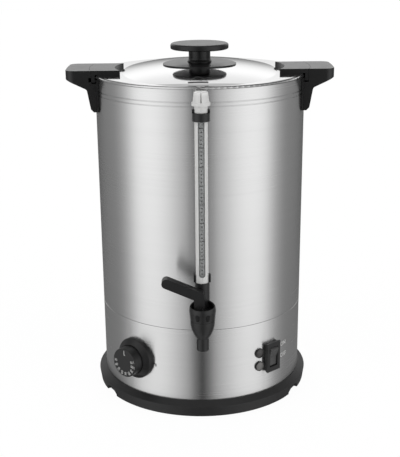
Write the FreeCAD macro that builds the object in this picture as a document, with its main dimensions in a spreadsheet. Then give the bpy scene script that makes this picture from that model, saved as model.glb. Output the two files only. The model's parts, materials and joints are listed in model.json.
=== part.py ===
# Electric hot water urn: a steel tank on a heater skirt and a plastic base ring, with a lift-off
# lid, two side handles, a sight gauge, a sprung tap, a thermostat dial, lamps and a rocker switch.
#
# Millimetres. The origin is the centre of the base on the worktop, +Z up, the tap at the front (-Y).
# An azimuth is measured about +Z from the front, positive towards +X.
import FreeCAD, Part
import math
import os
import Sketcher
from types import SimpleNamespace

# The driving dimensions: name, value, meaning and, where it is measured from another size, that one
SIZES = [
    ("body_radius", 125.0, "outer radius of the tank and of the skirt"),
    ("tank_wall", 1.0, "steel of the tank"),
    ("sheet", 0.8, "steel of the skirt and of the lid"),
    ("fit_gap", 0.3, "gap between pieces that move past each other"),
    ("slip_gap", 0.1, "gap round a screw, a pin or a rod in its hole"),

    ("ring_bottom", 1.0, "underside of the base ring"),
    ("ring_foot_radius", 7.2, "base ring at its underside, beyond the body", "body_radius"),
    ("ring_ridge_radius", 9.0, "base ring at its ridge, beyond the body", "body_radius"),
    ("ring_ridge_height", 14.0, "height of the ridge"),
    ("ring_top_radius", 1.6, "outer edge of the base ring's top, beyond the body", "body_radius"),
    ("ring_top_height", 19.3, "top of the base ring"),
    ("ring_gap", 0.15, "gap between the base ring and the skirt inside it"),
    ("ring_ledge", 8.0, "ledge that carries the skirt"),
    ("ring_inner_radius", -3.0, "base ring inside, round the base plate, within the body", "body_radius"),
    ("ring_flange_radius", -8.0, "inner edge of the flange for the plate's screws",
     "ring_inner_radius"),
    ("notch_width", 26.0, "arched notches in the base ring"),
    ("notch_spring", 4.0, "height where a notch's arch begins"),
    ("notch_height", 10.0, "top of a notch's arch"),
    ("notch_depth", 5.0, "depth of a notch"),
    ("notch_azimuth", 60.0, "azimuth of the front notches"),

    ("plate_bottom", 2.7, "underside of the base plate, and height of the rubber feet"),
    ("plate_thickness", 1.2, "steel of the base plate"),
    ("plate_rise", 3.8, "rise of the base plate's middle, over the nut"),
    ("plate_rise_radius", 24.0, "radius of that raised middle"),
    ("foot_radius", 10.0, "rubber foot"),
    ("foot_circle", -25.0, "circle on which the feet stand, within the body", "body_radius"),
    ("base_screw_radius", 2.0, "shank of a base screw"),
    ("base_screw_head", 3.6, "head radius of a base screw"),
    ("base_screw_head_height", 1.3, "head height of a base screw"),
    ("base_screw_length", 4.0, "length of a base screw's shank"),
    ("base_screw_circle", 4.0, "circle of the base screws, outside the flange's edge", "ring_flange_radius"),

    ("skirt_top", 109.8, "top of the skirt"),
    ("seam_gap", 0.3, "gap between the skirt and the tank"),
    ("spigot_gap", 0.25, "gap between the skirt and the tank's spigot"),
    ("spigot_bottom", -5.8, "lower edge of the tank's spigot, below the skirt's top", "skirt_top"),
    ("floor_height", 4.2, "underside of the tank's floor, over the skirt's top", "skirt_top"),
    ("floor_corner", 4.0, "inner corner between the floor and the wall"),
    ("rim_height", 391.5, "centre of the rolled rim bead"),
    ("bead_radius", 1.5, "radius of the rim bead"),
    ("upper_groove", -15.4, "upper pressed groove, below the rim", "rim_height"),
    ("lower_groove", -4.5, "lower pressed groove, below the upper one", "upper_groove"),
    ("groove_width", 1.3, "width of a pressed groove"),
    ("groove_depth", 0.5, "depth of a pressed groove"),

    ("rod_radius", 2.5, "tie rod from the tank's floor to the base plate"),
    ("rod_nut_flats", 8.0, "tie rod nut across its flats"),
    ("rod_nut_height", 3.4, "height of the tie rod nut"),
    ("heater_radius", 50.0, "heater plate under the floor"),
    ("heater_thickness", 6.0, "thickness of the heater plate"),
    ("element_circle", 38.0, "circle of the tubular element"),
    ("element_radius", 4.0, "radius of the element's tube"),
    ("element_sweep", 310.0, "how far round the element goes"),
    ("element_pin_radius", 1.8, "element terminal pins"),
    ("element_pin_length", 14.0, "length of the terminal pins below the element"),
    ("cutout_radius", 8.0, "thermal cut-out"),
    ("cutout_height", 7.0, "height of the thermal cut-out"),
    ("cutout_offset", 18.0, "its distance behind the centre"),

    ("dial_azimuth", -39.7, "azimuth of the thermostat dial"),
    ("dial_height", 63.5, "height of the dial"),
    ("bezel_radius", 25.5, "dial bezel"),
    ("bezel_edge", 4.6, "height of the bezel's straight edge over the skirt"),
    ("bezel_face", 9.6, "height of the bezel's face over the skirt"),
    ("bezel_lip", 0.8, "width of the face round the knob"),
    ("bezel_floor", 6.2, "floor under the knob, over the skirt"),
    ("knob_radius", 18.0, "thermostat knob"),
    ("knob_face", 21.8, "the knob's face over the skirt"),
    ("knob_edge", 1.2, "rounding of the knob's face"),
    ("shaft_radius", 3.0, "thermostat shaft"),
    ("shaft_end", 16.0, "end of the shaft over the skirt"),
    ("thermostat_width", 30.0, "thermostat housing"),
    ("thermostat_tall", 32.0, "height of the thermostat housing"),
    ("thermostat_back", -25.0, "back of the thermostat, within the body", "body_radius"),
    ("thermostat_front", -5.0, "front of the thermostat, within the body", "body_radius"),
    ("bushing_radius", 5.0, "threaded bushing of the thermostat"),
    ("bulb_radius", 3.0, "thermostat bulb under the floor"),
    ("capillary_radius", 1.0, "capillary tube"),
    ("capillary_bend", 6.0, "bend of the capillary tube"),

    ("lamp_azimuth", 33.1, "azimuth of the two lamps"),
    ("upper_lamp", 70.9, "height of the upper lamp"),
    ("lower_lamp", 54.0, "height of the lower lamp"),
    ("lamp_radius", 6.1, "outer radius of a lamp's ring"),
    ("lamp_ring", 0.8, "width of a lamp's ring"),
    ("lamp_front", 2.0, "height of a lamp's ring over the skirt"),
    ("lamp_seat", 0.6, "back of the lens over the skirt"),
    ("lamp_crown", 2.9, "crown of the lens over the skirt"),
    ("lamp_barrel", 4.5, "lamp holder behind the skirt"),
    ("lamp_back", -21.0, "back of a lamp holder, within the body", "body_radius"),

    ("switch_azimuth", 41.7, "azimuth of the rocker switch"),
    ("switch_height", 62.6, "height of the switch"),
    ("switch_width", 18.5, "switch frame"),
    ("switch_tall", 34.0, "height of the switch frame"),
    ("switch_front", 5.0, "height of the frame over the skirt"),
    ("switch_bevel", 15.0, "slope of the frame's sides, in degrees"),
    ("switch_barrel_width", 16.0, "switch housing behind the skirt"),
    ("switch_barrel_tall", 30.0, "height of that housing"),
    ("switch_back", -23.0, "back of the switch housing, within the body", "body_radius"),
    ("rocker_pivot", -0.5, "the rocker's pivot, within the body", "body_radius"),
    ("rocker_width", 12.4, "rocker"),
    ("rocker_end", 12.4, "radius of the rocker's ends, about its pivot"),
    ("rocker_waist", 4.2, "face of the rocker at its middle, from the pivot"),
    ("rocker_tip", 5.5, "face of the rocker at its ends, from the pivot"),
    ("rocker_tail", 1.5, "back of the rocker behind the pivot"),
    ("rocker_tilt", 10.0, "tilt of the rocker at rest, in degrees"),
    ("rocker_pin", 1.2, "pivot pins of the rocker"),
    ("rocker_pin_length", 1.4, "length of a pivot pin"),
    ("rocker_floor", -6.5, "floor of the well behind the rocker, from the pivot", "rocker_pivot"),

    ("gland_height", 40.0, "height of the cord gland, at the back"),
    ("gland_flange", 9.0, "flange radius of the cord gland"),
    ("gland_body", 6.5, "body radius of the gland"),
    ("gland_bore", 3.6, "bore of the gland, for the cord"),
    ("gland_front", 8.0, "how far the gland stands out"),
    ("gland_depth", 7.0, "how far it reaches inside the skirt"),
    ("terminal_width", 30.0, "terminal block"),
    ("terminal_depth", 16.0, "depth of the terminal block"),
    ("terminal_tall", 14.0, "height of the terminal block"),
    ("terminal_well", 2.6, "wells over its screws"),
    ("terminal_offset", -55.0, "middle of the terminal block, within the body, at the back", "body_radius"),

    ("handle_reach", 33.2, "outer end of a handle, at its middle, beyond the body", "body_radius"),
    ("handle_corner_reach", -1.0, "outer end of a handle, at its corners, within its middle", "handle_reach"),
    ("handle_half", 33.5, "half the depth of a handle, front to back"),
    ("handle_corner", 10.0, "rounding of its outer corners"),
    ("handle_top", 7.5, "top of the handles and of the lid lugs, over the rim", "rim_height"),
    ("handle_end", -10.0, "lower edge of a handle's end face, below its top", "handle_top"),
    ("knee_reach", 7.5, "inner end of the slanted underside, beyond the body", "body_radius"),
    ("knee_height", -22.0, "its height, below the handle's top", "handle_top"),
    ("knee_rounding", 4.0, "rounding between the underside and the leg"),
    ("leg_reach", 3.5, "foot of the leg, beyond the body", "body_radius"),
    ("leg_height", -45.0, "its height, below the handle's top", "handle_top"),
    ("leg_rounding", 2.5, "rounding of the leg's foot"),
    ("handle_bottom", -48.5, "bottom of the leg, below the handle's top", "handle_top"),
    ("channel_radius", 6.3, "channel in which the lid lug's leg stands, beyond the body", "body_radius"),
    ("channel_floor", -15.0, "floor of that channel, below the handle's top", "handle_top"),
    ("bayonet_radius", 2.9, "bayonet slot, beyond the channel", "channel_radius"),
    ("bayonet_bottom", 1.8, "lower edge of the bayonet slot, over the channel's floor", "channel_floor"),
    ("bayonet_top", 5.0, "upper edge of the bayonet slot, over its lower edge", "bayonet_bottom"),
    ("saddle_half", 7.5, "half the width of the saddle flange, beyond the handle's", "handle_half"),
    ("saddle_thickness", 1.6, "thickness of the saddle flange"),
    ("saddle_bottom", 1.5, "lower edge of the saddle flange, over the leg's bottom", "handle_bottom"),
    ("saddle_top", 37.0, "upper edge of the saddle flange, over its lower edge", "saddle_bottom"),
    ("handle_screw_radius", 2.5, "handle screws, driven from inside the tank"),
    ("handle_screw_head", 4.5, "head radius of a handle screw"),
    ("handle_screw_head_height", 2.6, "head height of a handle screw"),
    ("handle_screw_length", 4.2, "how far a handle screw reaches into the leg"),
    ("handle_screw_offset", 18.0, "distance of the screws from the handle's middle"),
    ("handle_screw_height", 11.5, "handle screws, over the leg's bottom", "handle_bottom"),

    ("lid_gap", 0.3, "gap between the rim bead and the lid"),
    ("lid_flange", 0.2, "outer radius of the lid, beyond the body", "body_radius"),
    ("lid_lip", -1.8, "lip that locates the lid in the tank, within the body", "body_radius"),
    ("lid_lip_bottom", -10.5, "lower edge of the lip, below the rim", "rim_height"),
    ("dome_top", 11.7, "top of the dome, over the rim", "rim_height"),
    ("dome_side_radius", 470.0, "dome's radius of curvature from side to side"),
    ("dome_front_radius", 967.0, "dome's radius of curvature from front to back"),
    ("crown_radius", -6.6, "upper edge of the dome's shoulder, within the body", "body_radius"),
    ("crown_height", -7.2, "its height, below the dome's top", "dome_top"),
    ("crown_foot", -3.0, "lower edge of the shoulder, within the body", "body_radius"),
    ("lug_half", -0.3, "half the depth of a lid lug, within the handle's", "handle_half"),
    ("lug_middle", -24.0, "inner end of a lug, at its middle, within the body", "body_radius"),
    ("lug_corner", -8.0, "inner end of a lug, at its corners, from its middle", "lug_middle"),
    ("lug_outer", -0.3, "outer radius of a lug, within the handle's channel", "channel_radius"),
    ("lug_leg_inner", 2.0, "inner radius of a lug's leg, beyond the body", "body_radius"),
    ("lug_bottom", 1.5, "bottom of a lug's leg, over the floor of its channel", "channel_floor"),
    ("lug_screw_radius", 2.0, "lug screws, driven from below"),
    ("lug_screw_head", 3.6, "head radius of a lug screw"),
    ("lug_screw_head_height", 2.2, "head height of a lug screw"),
    ("lug_screw_length", 3.6, "how far a lug screw reaches into its lug"),
    ("lug_screw_reach", -15.0, "lug screws, within the body", "body_radius"),
    ("lug_screw_offset", 18.0, "distance of the lug screws from the lug's middle"),

    ("grip_radius", 34.5, "disc of the lid knob"),
    ("grip_bottom", 16.3, "underside of the disc, over the dome", "dome_top"),
    ("grip_top", 6.8, "top of the disc, over its underside", "grip_bottom"),
    ("grip_rounding", 2.6, "rounding of the disc's upper edge"),
    ("grip_dish", 0.7, "dish in the disc's top"),
    ("grip_stem", 12.9, "stem of the lid knob"),
    ("grip_flare", 14.4, "foot of the stem"),
    ("grip_foot", 0.8, "straight edge of that foot"),
    ("grip_flare_height", 3.5, "height of the flare"),
    ("grip_flare_rounding", 4.0, "curve of the flare"),
    ("grip_neck_rounding", 2.0, "curve between the stem and the disc"),
    ("grip_lower_rounding", 1.4, "rounding of the disc's lower edge"),
    ("grip_plate_radius", 43.7, "plate under the lid knob"),
    ("grip_plate", 1.2, "thickness of that plate"),
    ("grip_screw_radius", 2.5, "knob screw"),
    ("grip_screw_head", 5.0, "head radius of the knob screw"),
    ("grip_screw_head_height", 3.0, "head height of the knob screw"),
    ("grip_washer_radius", 8.0, "washer of the knob screw"),
    ("grip_washer", 1.1, "thickness of the washer"),
    ("grip_screw_length", 11.0, "how far the knob screw reaches into the stem"),

    ("shank_height", 26.3, "shank through the tank's wall, over the tank's floor", "floor_height"),
    ("tap_distance", 32.0, "tap's axis, beyond the body", "body_radius"),
    ("gauge_distance", -15.3, "gauge's axis, behind the tap's", "tap_distance"),
    ("column_top", 36.2, "seat of the shield tube, over the shank", "shank_height"),
    ("seal_bottom", -6.5, "floor of the gauge seal's pocket, below that seat", "column_top"),
    ("collar_bottom", -31.8, "underside of the upper collar, below the rim", "rim_height"),
    ("collar_seat", 8.7, "seat of the gauge cap, over the collar's underside", "collar_bottom"),
    ("cap_flange_bottom", 7.8, "underside of the gauge cap's flange, over the cap's seat", "collar_seat"),
    ("cap_bore_top", 1.3, "top of the cap's bore, over the flange's underside", "cap_flange_bottom"),
    ("glass_radius", 5.2, "gauge glass"),
    ("glass_wall", 1.2, "wall of the gauge glass"),
    ("glass_bottom", 0.5, "lower end of the glass, over the floor of its seal", "seal_bottom"),
    ("glass_top", -1.0, "upper end of the glass, below the top of the cap's bore", "cap_bore_top"),
    ("shield_radius", 7.15, "gauge shield tube"),
    ("shield_wall", 0.95, "wall of the shield tube"),
    ("shield_slot", 7.1, "width of the slot in the shield"),
    ("shield_slot_bottom", 6.7, "lower end of the slot, over the tube's seat", "column_top"),
    ("column_radius", 8.55, "gauge column on the tap"),
    ("column_bore", 3.5, "water way up the column"),
    ("seal_radius", 6.8, "pocket of the gauge seal"),
    ("cradle_radius", 9.85, "cradles that hold the shield tube and the cap"),
    ("cradle_top", 8.5, "top of the lower cradle, over the tube's seat", "column_top"),
    ("collar_top", 3.6, "top of the upper cradle, over the cap's seat", "collar_seat"),
    ("collar_arm", 9.0, "width of the arm from the collar to the tank"),
    ("collar_arm_height", 8.0, "height of that arm"),
    ("gauge_screw_radius", 2.0, "gauge screw, driven from inside the tank"),
    ("gauge_screw_head", 4.0, "its head radius"),
    ("gauge_screw_head_height", 2.4, "its head height"),
    ("gauge_screw_length", 7.0, "how far it reaches out of the tank"),
    ("cap_barrel", 7.2, "barrel of the gauge cap"),
    ("cap_flange", 10.1, "flange of the gauge cap"),
    ("cap_flange_top", 3.7, "top of that flange, over its underside", "cap_flange_bottom"),
    ("cap_foot", 8.9, "wings of the cap, at the flange"),
    ("cap_tip", 7.4, "wings of the cap, at the top"),
    ("cap_top", 11.4, "top of the gauge cap, over its flange", "cap_flange_top"),
    ("cap_nub", 2.2, "nub in the middle of the cap's top"),
    ("cap_nub_height", -0.5, "top of the nub, below the cap's top", "cap_top"),
    ("cap_valley", -3.7, "bottom of the hollow in the cap's top, below it", "cap_top"),
    ("cap_groove_width", 2.4, "grooves between the wings"),
    ("cap_groove_radius", 5.7, "bottom of those grooves, from the cap's axis"),

    ("tap_radius", 15.2, "tap body at its widest"),
    ("tap_widest", 7.0, "widest place, over the shank", "shank_height"),
    ("tap_seam", -3.3, "seam between the tap body and the spout, below the shank", "shank_height"),
    ("tap_seam_radius", -1.0, "tap body at the seam with the spout, within its widest", "tap_radius"),
    ("tap_seam_gap", 0.3, "groove at the seam"),
    ("hood_curve", 18.0, "curve of the hood above the widest place"),
    ("hood_top", 10.7, "top of the hood, at the back, over the widest place", "tap_widest"),
    ("hood_wall", 1.5, "wall of the hood"),
    ("hood_front", 4.9, "rim of the hood, at the front, over the widest place", "tap_widest"),
    ("hood_back", -0.8, "rim of the hood, at the back, below its top", "hood_top"),
    ("hood_slope", 1.0, "how far behind the tap's axis the rim begins to rise"),
    ("hood_rounding", 5.0, "curve where the rim begins to rise"),
    ("well_floor", -0.8, "floor under the lever, below the widest place", "tap_widest"),
    ("chamber_top", -3.0, "top of the valve chamber, below the floor under the lever", "well_floor"),
    ("neck_radius", -1.7, "neck over which the spout is screwed, within the seam", "tap_seam_radius"),
    ("chamber_radius", -1.5, "valve chamber, within the neck", "neck_radius"),
    ("shank_radius", 7.5, "shank"),
    ("shank_bore", 3.0, "water way in the shank"),
    ("shank_end", -13.0, "inner end of the shank, within the body", "body_radius"),
    ("shank_flange", 10.5, "flange of the shank, outside the tank"),
    ("shank_flange_thickness", 3.0, "thickness of that flange"),
    ("gasket", 2.0, "thickness of the gasket on each side of the wall"),
    ("tap_nut_flats", 21.0, "nut of the shank across its flats"),
    ("tap_nut_thickness", 5.0, "thickness of that nut"),
    ("dimple_width", 5.0, "finger dimples in the front of the tap body"),
    ("dimple_bottom", 2.0, "lower end of a dimple, over the seam", "tap_seam"),
    ("dimple_top", 8.0, "upper end of a dimple, over its lower end", "dimple_bottom"),
    ("dimple_offset", 6.0, "distance of a dimple from the middle"),
    ("dimple_depth", 0.5, "depth of a dimple"),
    ("spout_curve", 38.0, "curve of the spout's outside"),
    ("spout_neck_radius", 7.8, "spout where the curve ends"),
    ("spout_neck", -21.7, "that place, below the seam", "tap_seam"),
    ("nozzle_radius", 7.3, "nozzle"),
    ("nozzle_step", 1.3, "height of the step from the curve to the nozzle"),
    ("nozzle_bottom", -15.7, "lower end of the nozzle, below where the curve ends", "spout_neck"),
    ("nozzle_bore", 4.6, "bore of the nozzle"),
    ("nozzle_rounding", 1.2, "rounding of the nozzle's lower edge"),
    ("neck_bottom", -5.2, "lower end of the neck, below the seam", "tap_seam"),
    ("seat_height", -9.8, "valve seat, below the neck", "neck_bottom"),
    ("seat_radius", 8.2, "chamber round the seat cup"),
    ("cup_radius", 6.8, "seat cup"),
    ("cup_height", 6.8, "height of the seat cup"),
    ("cup_floor", 1.8, "thickness of its closed end"),
    ("stem_radius", 2.0, "tap stem"),
    ("stem_flange", 5.2, "spring seat on the stem"),
    ("stem_flange_thickness", 1.5, "its thickness"),
    ("spring_radius", 4.4, "tap spring"),
    ("spring_wire", 1.0, "thickness of the spring"),
    ("lever_pin_radius", 1.2, "pin through the lever and the stem"),
    ("lever_pin_height", 4.5, "that pin, over the floor under the lever", "well_floor"),
    ("lever_travel", 18.0, "travel of the lever, in degrees"),
    ("eye_rim", 1.5, "metal round the eye of the stem"),
    ("eye_thickness", 3.6, "thickness of the stem's eye"),
    ("heel_reach", 9.3, "heel of the lever, left of the tap's axis"),
    ("heel_rounding", 1.5, "rounding of the heel, on which the lever rocks"),
    ("toe_reach", 2.4, "right side of the lever's foot"),
    ("toe_rounding", 0.8, "rounding of the foot's right corner"),
    ("lever_half", 5.5, "half the width of the lever's arm"),
    ("post_half", 5.0, "half the width of the lever's foot"),
    ("fork_reach", 6.0, "bottom of the fork in the foot, left of the tap's axis"),
    ("fork_top", 7.5, "top of the fork, over the pin", "lever_pin_height"),
    ("arm_root_reach", 9.8, "where the arm's underside meets the foot"),
    ("arm_root_height", 11.0, "its height, over the pin", "lever_pin_height"),
    ("arm_corner_height", 7.4, "upper corner of the arm, over that place", "arm_root_height"),
    ("arm_corner_inset", 0.9, "its distance from the foot's right side"),
    ("arm_corner_rounding", 1.2, "its rounding"),
    ("arm_overlap", 1.5, "how far the foot and the arm run into each other"),
    ("arm_slope", 23.5, "rise of the arm, in degrees"),
    ("arm_length", 48.3, "length of the arm's upper edge"),
    ("arm_thickness", 11.2, "thickness of the arm"),
    ("arm_tip_rounding", 5.3, "rounding of the arm's end"),
]


class Size:
    """A dimension that is both a number and the sheet expression that gives it."""

    def __init__(self, value, text=None):
        self.value = float(value)
        self.text = text or repr(self.value)

    def joined(self, other, sign, value):
        return Size(value, "(%s %s %s)" % (self.text, sign, other.text))

    def __add__(self, other):
        other = size(other)
        return self.joined(other, "+", self.value + other.value)

    def __sub__(self, other):
        other = size(other)
        return self.joined(other, "-", self.value - other.value)

    def __mul__(self, other):
        other = size(other)
        return self.joined(other, "*", self.value * other.value)

    def __truediv__(self, other):
        other = size(other)
        return self.joined(other, "/", self.value / other.value)

    def __radd__(self, other):
        return size(other) + self

    def __rsub__(self, other):
        return size(other) - self

    def __rmul__(self, other):
        return size(other) * self

    def __neg__(self):
        return Size(-self.value, "(-%s)" % self.text)


def size(value):
    """A plain number as a Size."""
    return value if isinstance(value, Size) else Size(value)


def root(value):
    return Size(math.sqrt(value.value), "sqrt(%s)" % value.text)


def sine(degrees):
    return Size(math.sin(math.radians(degrees.value)), "sin(%s)" % degrees.text)


def cosine(degrees):
    return Size(math.cos(math.radians(degrees.value)), "cos(%s)" % degrees.text)


def arcsine(value):
    return Size(math.degrees(math.asin(value.value)), "(asin(%s) / 1 deg)" % value.text)


document = FreeCAD.newDocument("HotWaterUrn")
sheet = document.addObject("Spreadsheet::Sheet", "Sizes")
d = SimpleNamespace()
for row, (alias, number, meaning, *base) in enumerate(SIZES, start=1):
    sheet.set("A%d" % row, alias)
    sheet.set("B%d" % row, repr(number))
    sheet.set("C%d" % row, meaning)
    sheet.set("D%d" % row, "".join(base))
    sheet.setAlias("B%d" % row, alias)
    own = Size(number, "Sizes." + alias)
    setattr(d, alias, getattr(d, base[0]) + own if base else own)
document.recompute()

NODES = []


def bind(thing, name, value):
    """Set a property or constraint to a size, by an expression where the sheet drives it."""
    value = size(value)
    if "Sizes." in value.text:
        thing.setExpression(name, value.text)
    elif not name.startswith("Constraints"):
        setattr(thing, name, value.value)


# Outlines: a list of corners, each reached by a straight run or by an arc

def at(x, y, rounding=None):
    """A straight run to this corner, which may be rounded."""
    return SimpleNamespace(x=size(x), y=size(y), rounding=rounding and size(rounding), radius=None)


def arc(x, y, radius, left=True):
    """An arc of under a half circle to this corner, turning left or right."""
    return SimpleNamespace(x=size(x), y=size(y), rounding=None, radius=size(radius), left=left)


def circle(x, y, radius):
    return SimpleNamespace(x=size(x), y=size(y), radius=size(radius))


def vector(x, y):
    return FreeCAD.Vector(x, y, 0)


def arc_between(start, end, radius, left):
    """The arc and its travel: which of its own ends it is entered and left by."""
    chord = end - start
    side = vector(-chord.y, chord.x).normalize() * (1 if left else -1)
    rise = math.sqrt(max(radius ** 2 - chord.Length ** 2 / 4, 0))
    centre = (start + end) * 0.5 + side * rise
    first, last = (start, end) if left else (end, start)
    angles = [math.atan2(point.y - centre.y, point.x - centre.x) for point in (first, last)]
    curve = Part.ArcOfCircle(Part.Circle(centre, FreeCAD.Vector(0, 0, 1), radius), *angles)
    return (curve, 1, 2) if left else (curve, 2, 1)


def draw_outline(sketch, corners):
    """Draw a closed outline in a sketch and bind every corner and radius to the sheet."""
    count = len(corners)
    points = [vector(corner.x.value, corner.y.value) for corner in corners]
    arrive = list(points)
    depart = list(points)
    for i, corner in enumerate(corners):
        if corner.rounding:
            before = (points[i] - points[i - 1]).normalize()
            after = (points[(i + 1) % count] - points[i]).normalize()
            reach = corner.rounding.value * math.tan(before.getAngle(after) / 2)
            arrive[i] = points[i] - before * reach
            depart[i] = points[i] + after * reach
    edges = []
    for i, corner in enumerate(corners):
        if corner.radius:
            curve, entry, leave = arc_between(depart[i - 1], arrive[i], corner.radius.value, corner.left)
        else:
            curve, entry, leave = Part.LineSegment(depart[i - 1], arrive[i]), 1, 2
        edges.append((sketch.addGeometry(curve, False), entry, leave))
    for i, corner in enumerate(corners):
        edge, entry, leave = edges[i]
        following, next_entry, next_leave = edges[(i + 1) % count]
        if corner.radius:
            fix(sketch, ("Radius", edge), corner.radius)
        if corner.rounding:
            turn_left = (points[i] - points[i - 1]).cross(points[(i + 1) % count] - points[i]).z > 0
            curve, begin, end = arc_between(arrive[i], depart[i], corner.rounding.value, turn_left)
            bend = sketch.addGeometry(curve, False)
            mark = sketch.addGeometry(Part.Point(points[i]), True)
            sketch.addConstraint(Sketcher.Constraint("Tangent", edge, leave, bend, begin))
            sketch.addConstraint(Sketcher.Constraint("Tangent", bend, end, following, next_entry))
            sketch.addConstraint(Sketcher.Constraint("PointOnObject", mark, 1, edge))
            sketch.addConstraint(Sketcher.Constraint("PointOnObject", mark, 1, following))
            fix(sketch, ("Radius", bend), corner.rounding)
            fix_point(sketch, mark, 1, corner)
        else:
            sketch.addConstraint(Sketcher.Constraint("Coincident", edge, leave, following, next_entry))
            fix_point(sketch, edge, leave, corner)


def fix(sketch, terms, value):
    """Add a dimension to a sketch and bind it to its size."""
    index = sketch.addConstraint(Sketcher.Constraint(*terms, value.value))
    bind(sketch, "Constraints[%d]" % index, value)


def fix_point(sketch, edge, end, place):
    fix(sketch, ("DistanceX", -1, 1, edge, end), place.x)
    fix(sketch, ("DistanceY", -1, 1, edge, end), place.y)


def draw_circle(sketch, ring):
    centre = vector(ring.x.value, ring.y.value)
    curve = Part.Circle(centre, FreeCAD.Vector(0, 0, 1), ring.radius.value)
    index = sketch.addGeometry(curve, False)
    fix(sketch, ("Radius", index), ring.radius)
    fix_point(sketch, index, 3, ring)


# Bodies and their features

def origin_feature(body, role):
    return [item for item in body.Origin.OriginFeatures if item.Role == role][0]


def new_body(label, is_node=True):
    body = document.addObject("PartDesign::Body", "Body_" + label)
    body.Label = label
    if is_node:
        NODES.append(body)
    return body


def new_sketch(body, role, loops, shift=(0, 0, 0), azimuth=None):
    """A sketch on one of the body's own planes, moved in that plane's axes or turned to an azimuth."""
    sketch = body.newObject("Sketcher::SketchObject", "Sketch")
    sketch.AttachmentSupport = [(origin_feature(body, role), "")]
    sketch.MapMode = "FlatFace"
    x, y, z = [size(value) for value in shift]
    turned = size(0)
    if azimuth is not None:
        turned = size(azimuth)
        x, z = z * sine(turned), z * cosine(turned)
    texts = (x.text, y.text, z.text, turned.text)
    sketch.setExpression("AttachmentOffset", "create(<<placement>>; create(<<vector>>; %s; %s; %s); "
                         "create(<<rotation>>; 0; %s; 0))" % texts)
    for loop in loops:
        if isinstance(loop, list):
            draw_outline(sketch, loop)
        else:
            draw_circle(sketch, loop)
    return sketch


def pad(body, role, loops, start, end, taper=None):
    """Material between two distances along the plane's normal."""
    feature = body.newObject("PartDesign::Pad", "Pad")
    feature.Profile = new_sketch(body, role, loops, (0, 0, start))
    bind(feature, "Length", size(end) - start)
    if taper is not None:
        bind(feature, "TaperAngle", taper)
    return feature


def cut(body, role, loops, start, end, azimuth=None):
    """A cut between two distances along the plane's normal."""
    feature = body.newObject("PartDesign::Pocket", "Pocket")
    feature.Profile = new_sketch(body, role, loops, (0, 0, start), azimuth)
    feature.Reversed = True
    bind(feature, "Length", size(end) - start)
    return feature


def turn(body, outline, height=None, kind="Revolution", sweep=None, both_ways=False):
    """Material, or with kind "Groove" a cut, turned about +Z, or about the level front axis at a height."""
    feature = body.newObject("PartDesign::" + kind, kind)
    if height is None:
        sketch = new_sketch(body, "XZ_Plane", [outline])
        axis = "V_Axis"
    else:
        sketch = new_sketch(body, "YZ_Plane", [outline], (0, height, 0))
        axis = "H_Axis"
    feature.Profile = sketch
    feature.ReferenceAxis = (sketch, [axis])
    feature.Midplane = both_ways
    bind(feature, "Angle", 360 if sweep is None else sweep)
    return feature


def box(low_x, low_y, high_x, high_y):
    return [at(low_x, low_y), at(high_x, low_y), at(high_x, high_y), at(low_x, high_y)]


def place(body, x=0, y=0, z=0, azimuth=0):
    """Put a body at a place, turned about +Z."""
    texts = tuple(size(value).text for value in (x, y, z, azimuth))
    body.setExpression("Placement", "create(<<placement>>; create(<<vector>>; %s; %s; %s); "
                       "create(<<rotation>>; %s; 0; 0))" % texts)


def around(radius, count, first=0):
    """Places on a circle, as pairs of coordinates."""
    spots = []
    for index in range(count):
        angle = math.radians(first + 360 * index / count)
        spots.append((radius * math.sin(angle), radius * -math.cos(angle)))
    return spots


def hexagon(x, y, flats):
    """A hexagon across its flats, pointing to the sides."""
    corner = flats / math.sqrt(3)
    return [at(x + corner * math.cos(math.radians(60 * index)),
               y + corner * math.sin(math.radians(60 * index))) for index in range(6)]


def combine(kind, label, shapes, is_node=False):
    """A boolean of other objects: Part::Common, Part::Cut or Part::MultiFuse."""
    result = document.addObject("Part::" + kind, "Boolean_" + label)
    result.Label = label
    if kind == "MultiFuse":
        result.Shapes = shapes
    else:
        result.Base, result.Tool = shapes
    if is_node:
        NODES.append(result)
    return result


# Base: ring, plate, feet, screws, tie rod

plate_top = d.plate_bottom + d.plate_thickness
spigot_radius = d.body_radius - d.sheet - d.spigot_gap
skirt_inside = d.body_radius - d.sheet


def make_base_ring():
    ring = new_body("base_ring")
    seat = d.body_radius + d.ring_gap
    turn(ring, [
        at(d.ring_inner_radius, d.ring_bottom),
        at(d.ring_foot_radius, d.ring_bottom, 0.8),
        at(d.ring_ridge_radius, d.ring_ridge_height, 0.5),
        at(d.ring_top_radius, d.ring_top_height, 0.6),
        at(seat, d.ring_top_height),
        at(seat, d.ring_ledge),
        at(d.ring_flange_radius, d.ring_ledge),
        at(d.ring_flange_radius, plate_top),
        at(d.ring_inner_radius, plate_top),
    ])
    half = d.notch_width / 2
    rise = d.notch_height - d.notch_spring
    arch = [
        at(-half, 0),
        at(half, 0),
        at(half, d.notch_spring),
        arc(-half, d.notch_spring, (half * half + rise * rise) / (rise * 2)),
    ]
    back = d.ring_foot_radius - d.notch_depth
    for azimuth in (d.notch_azimuth, 180 - d.notch_azimuth, -d.notch_azimuth, d.notch_azimuth - 180):
        cut(ring, "XZ_Plane", [arch], back, d.ring_ridge_radius + 1, azimuth)
    holes = [circle(x, y, d.base_screw_radius + d.slip_gap) for x, y in around(d.base_screw_circle, 4)]
    cut(ring, "XY_Plane", holes, d.plate_bottom, plate_top + d.base_screw_length)


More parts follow.
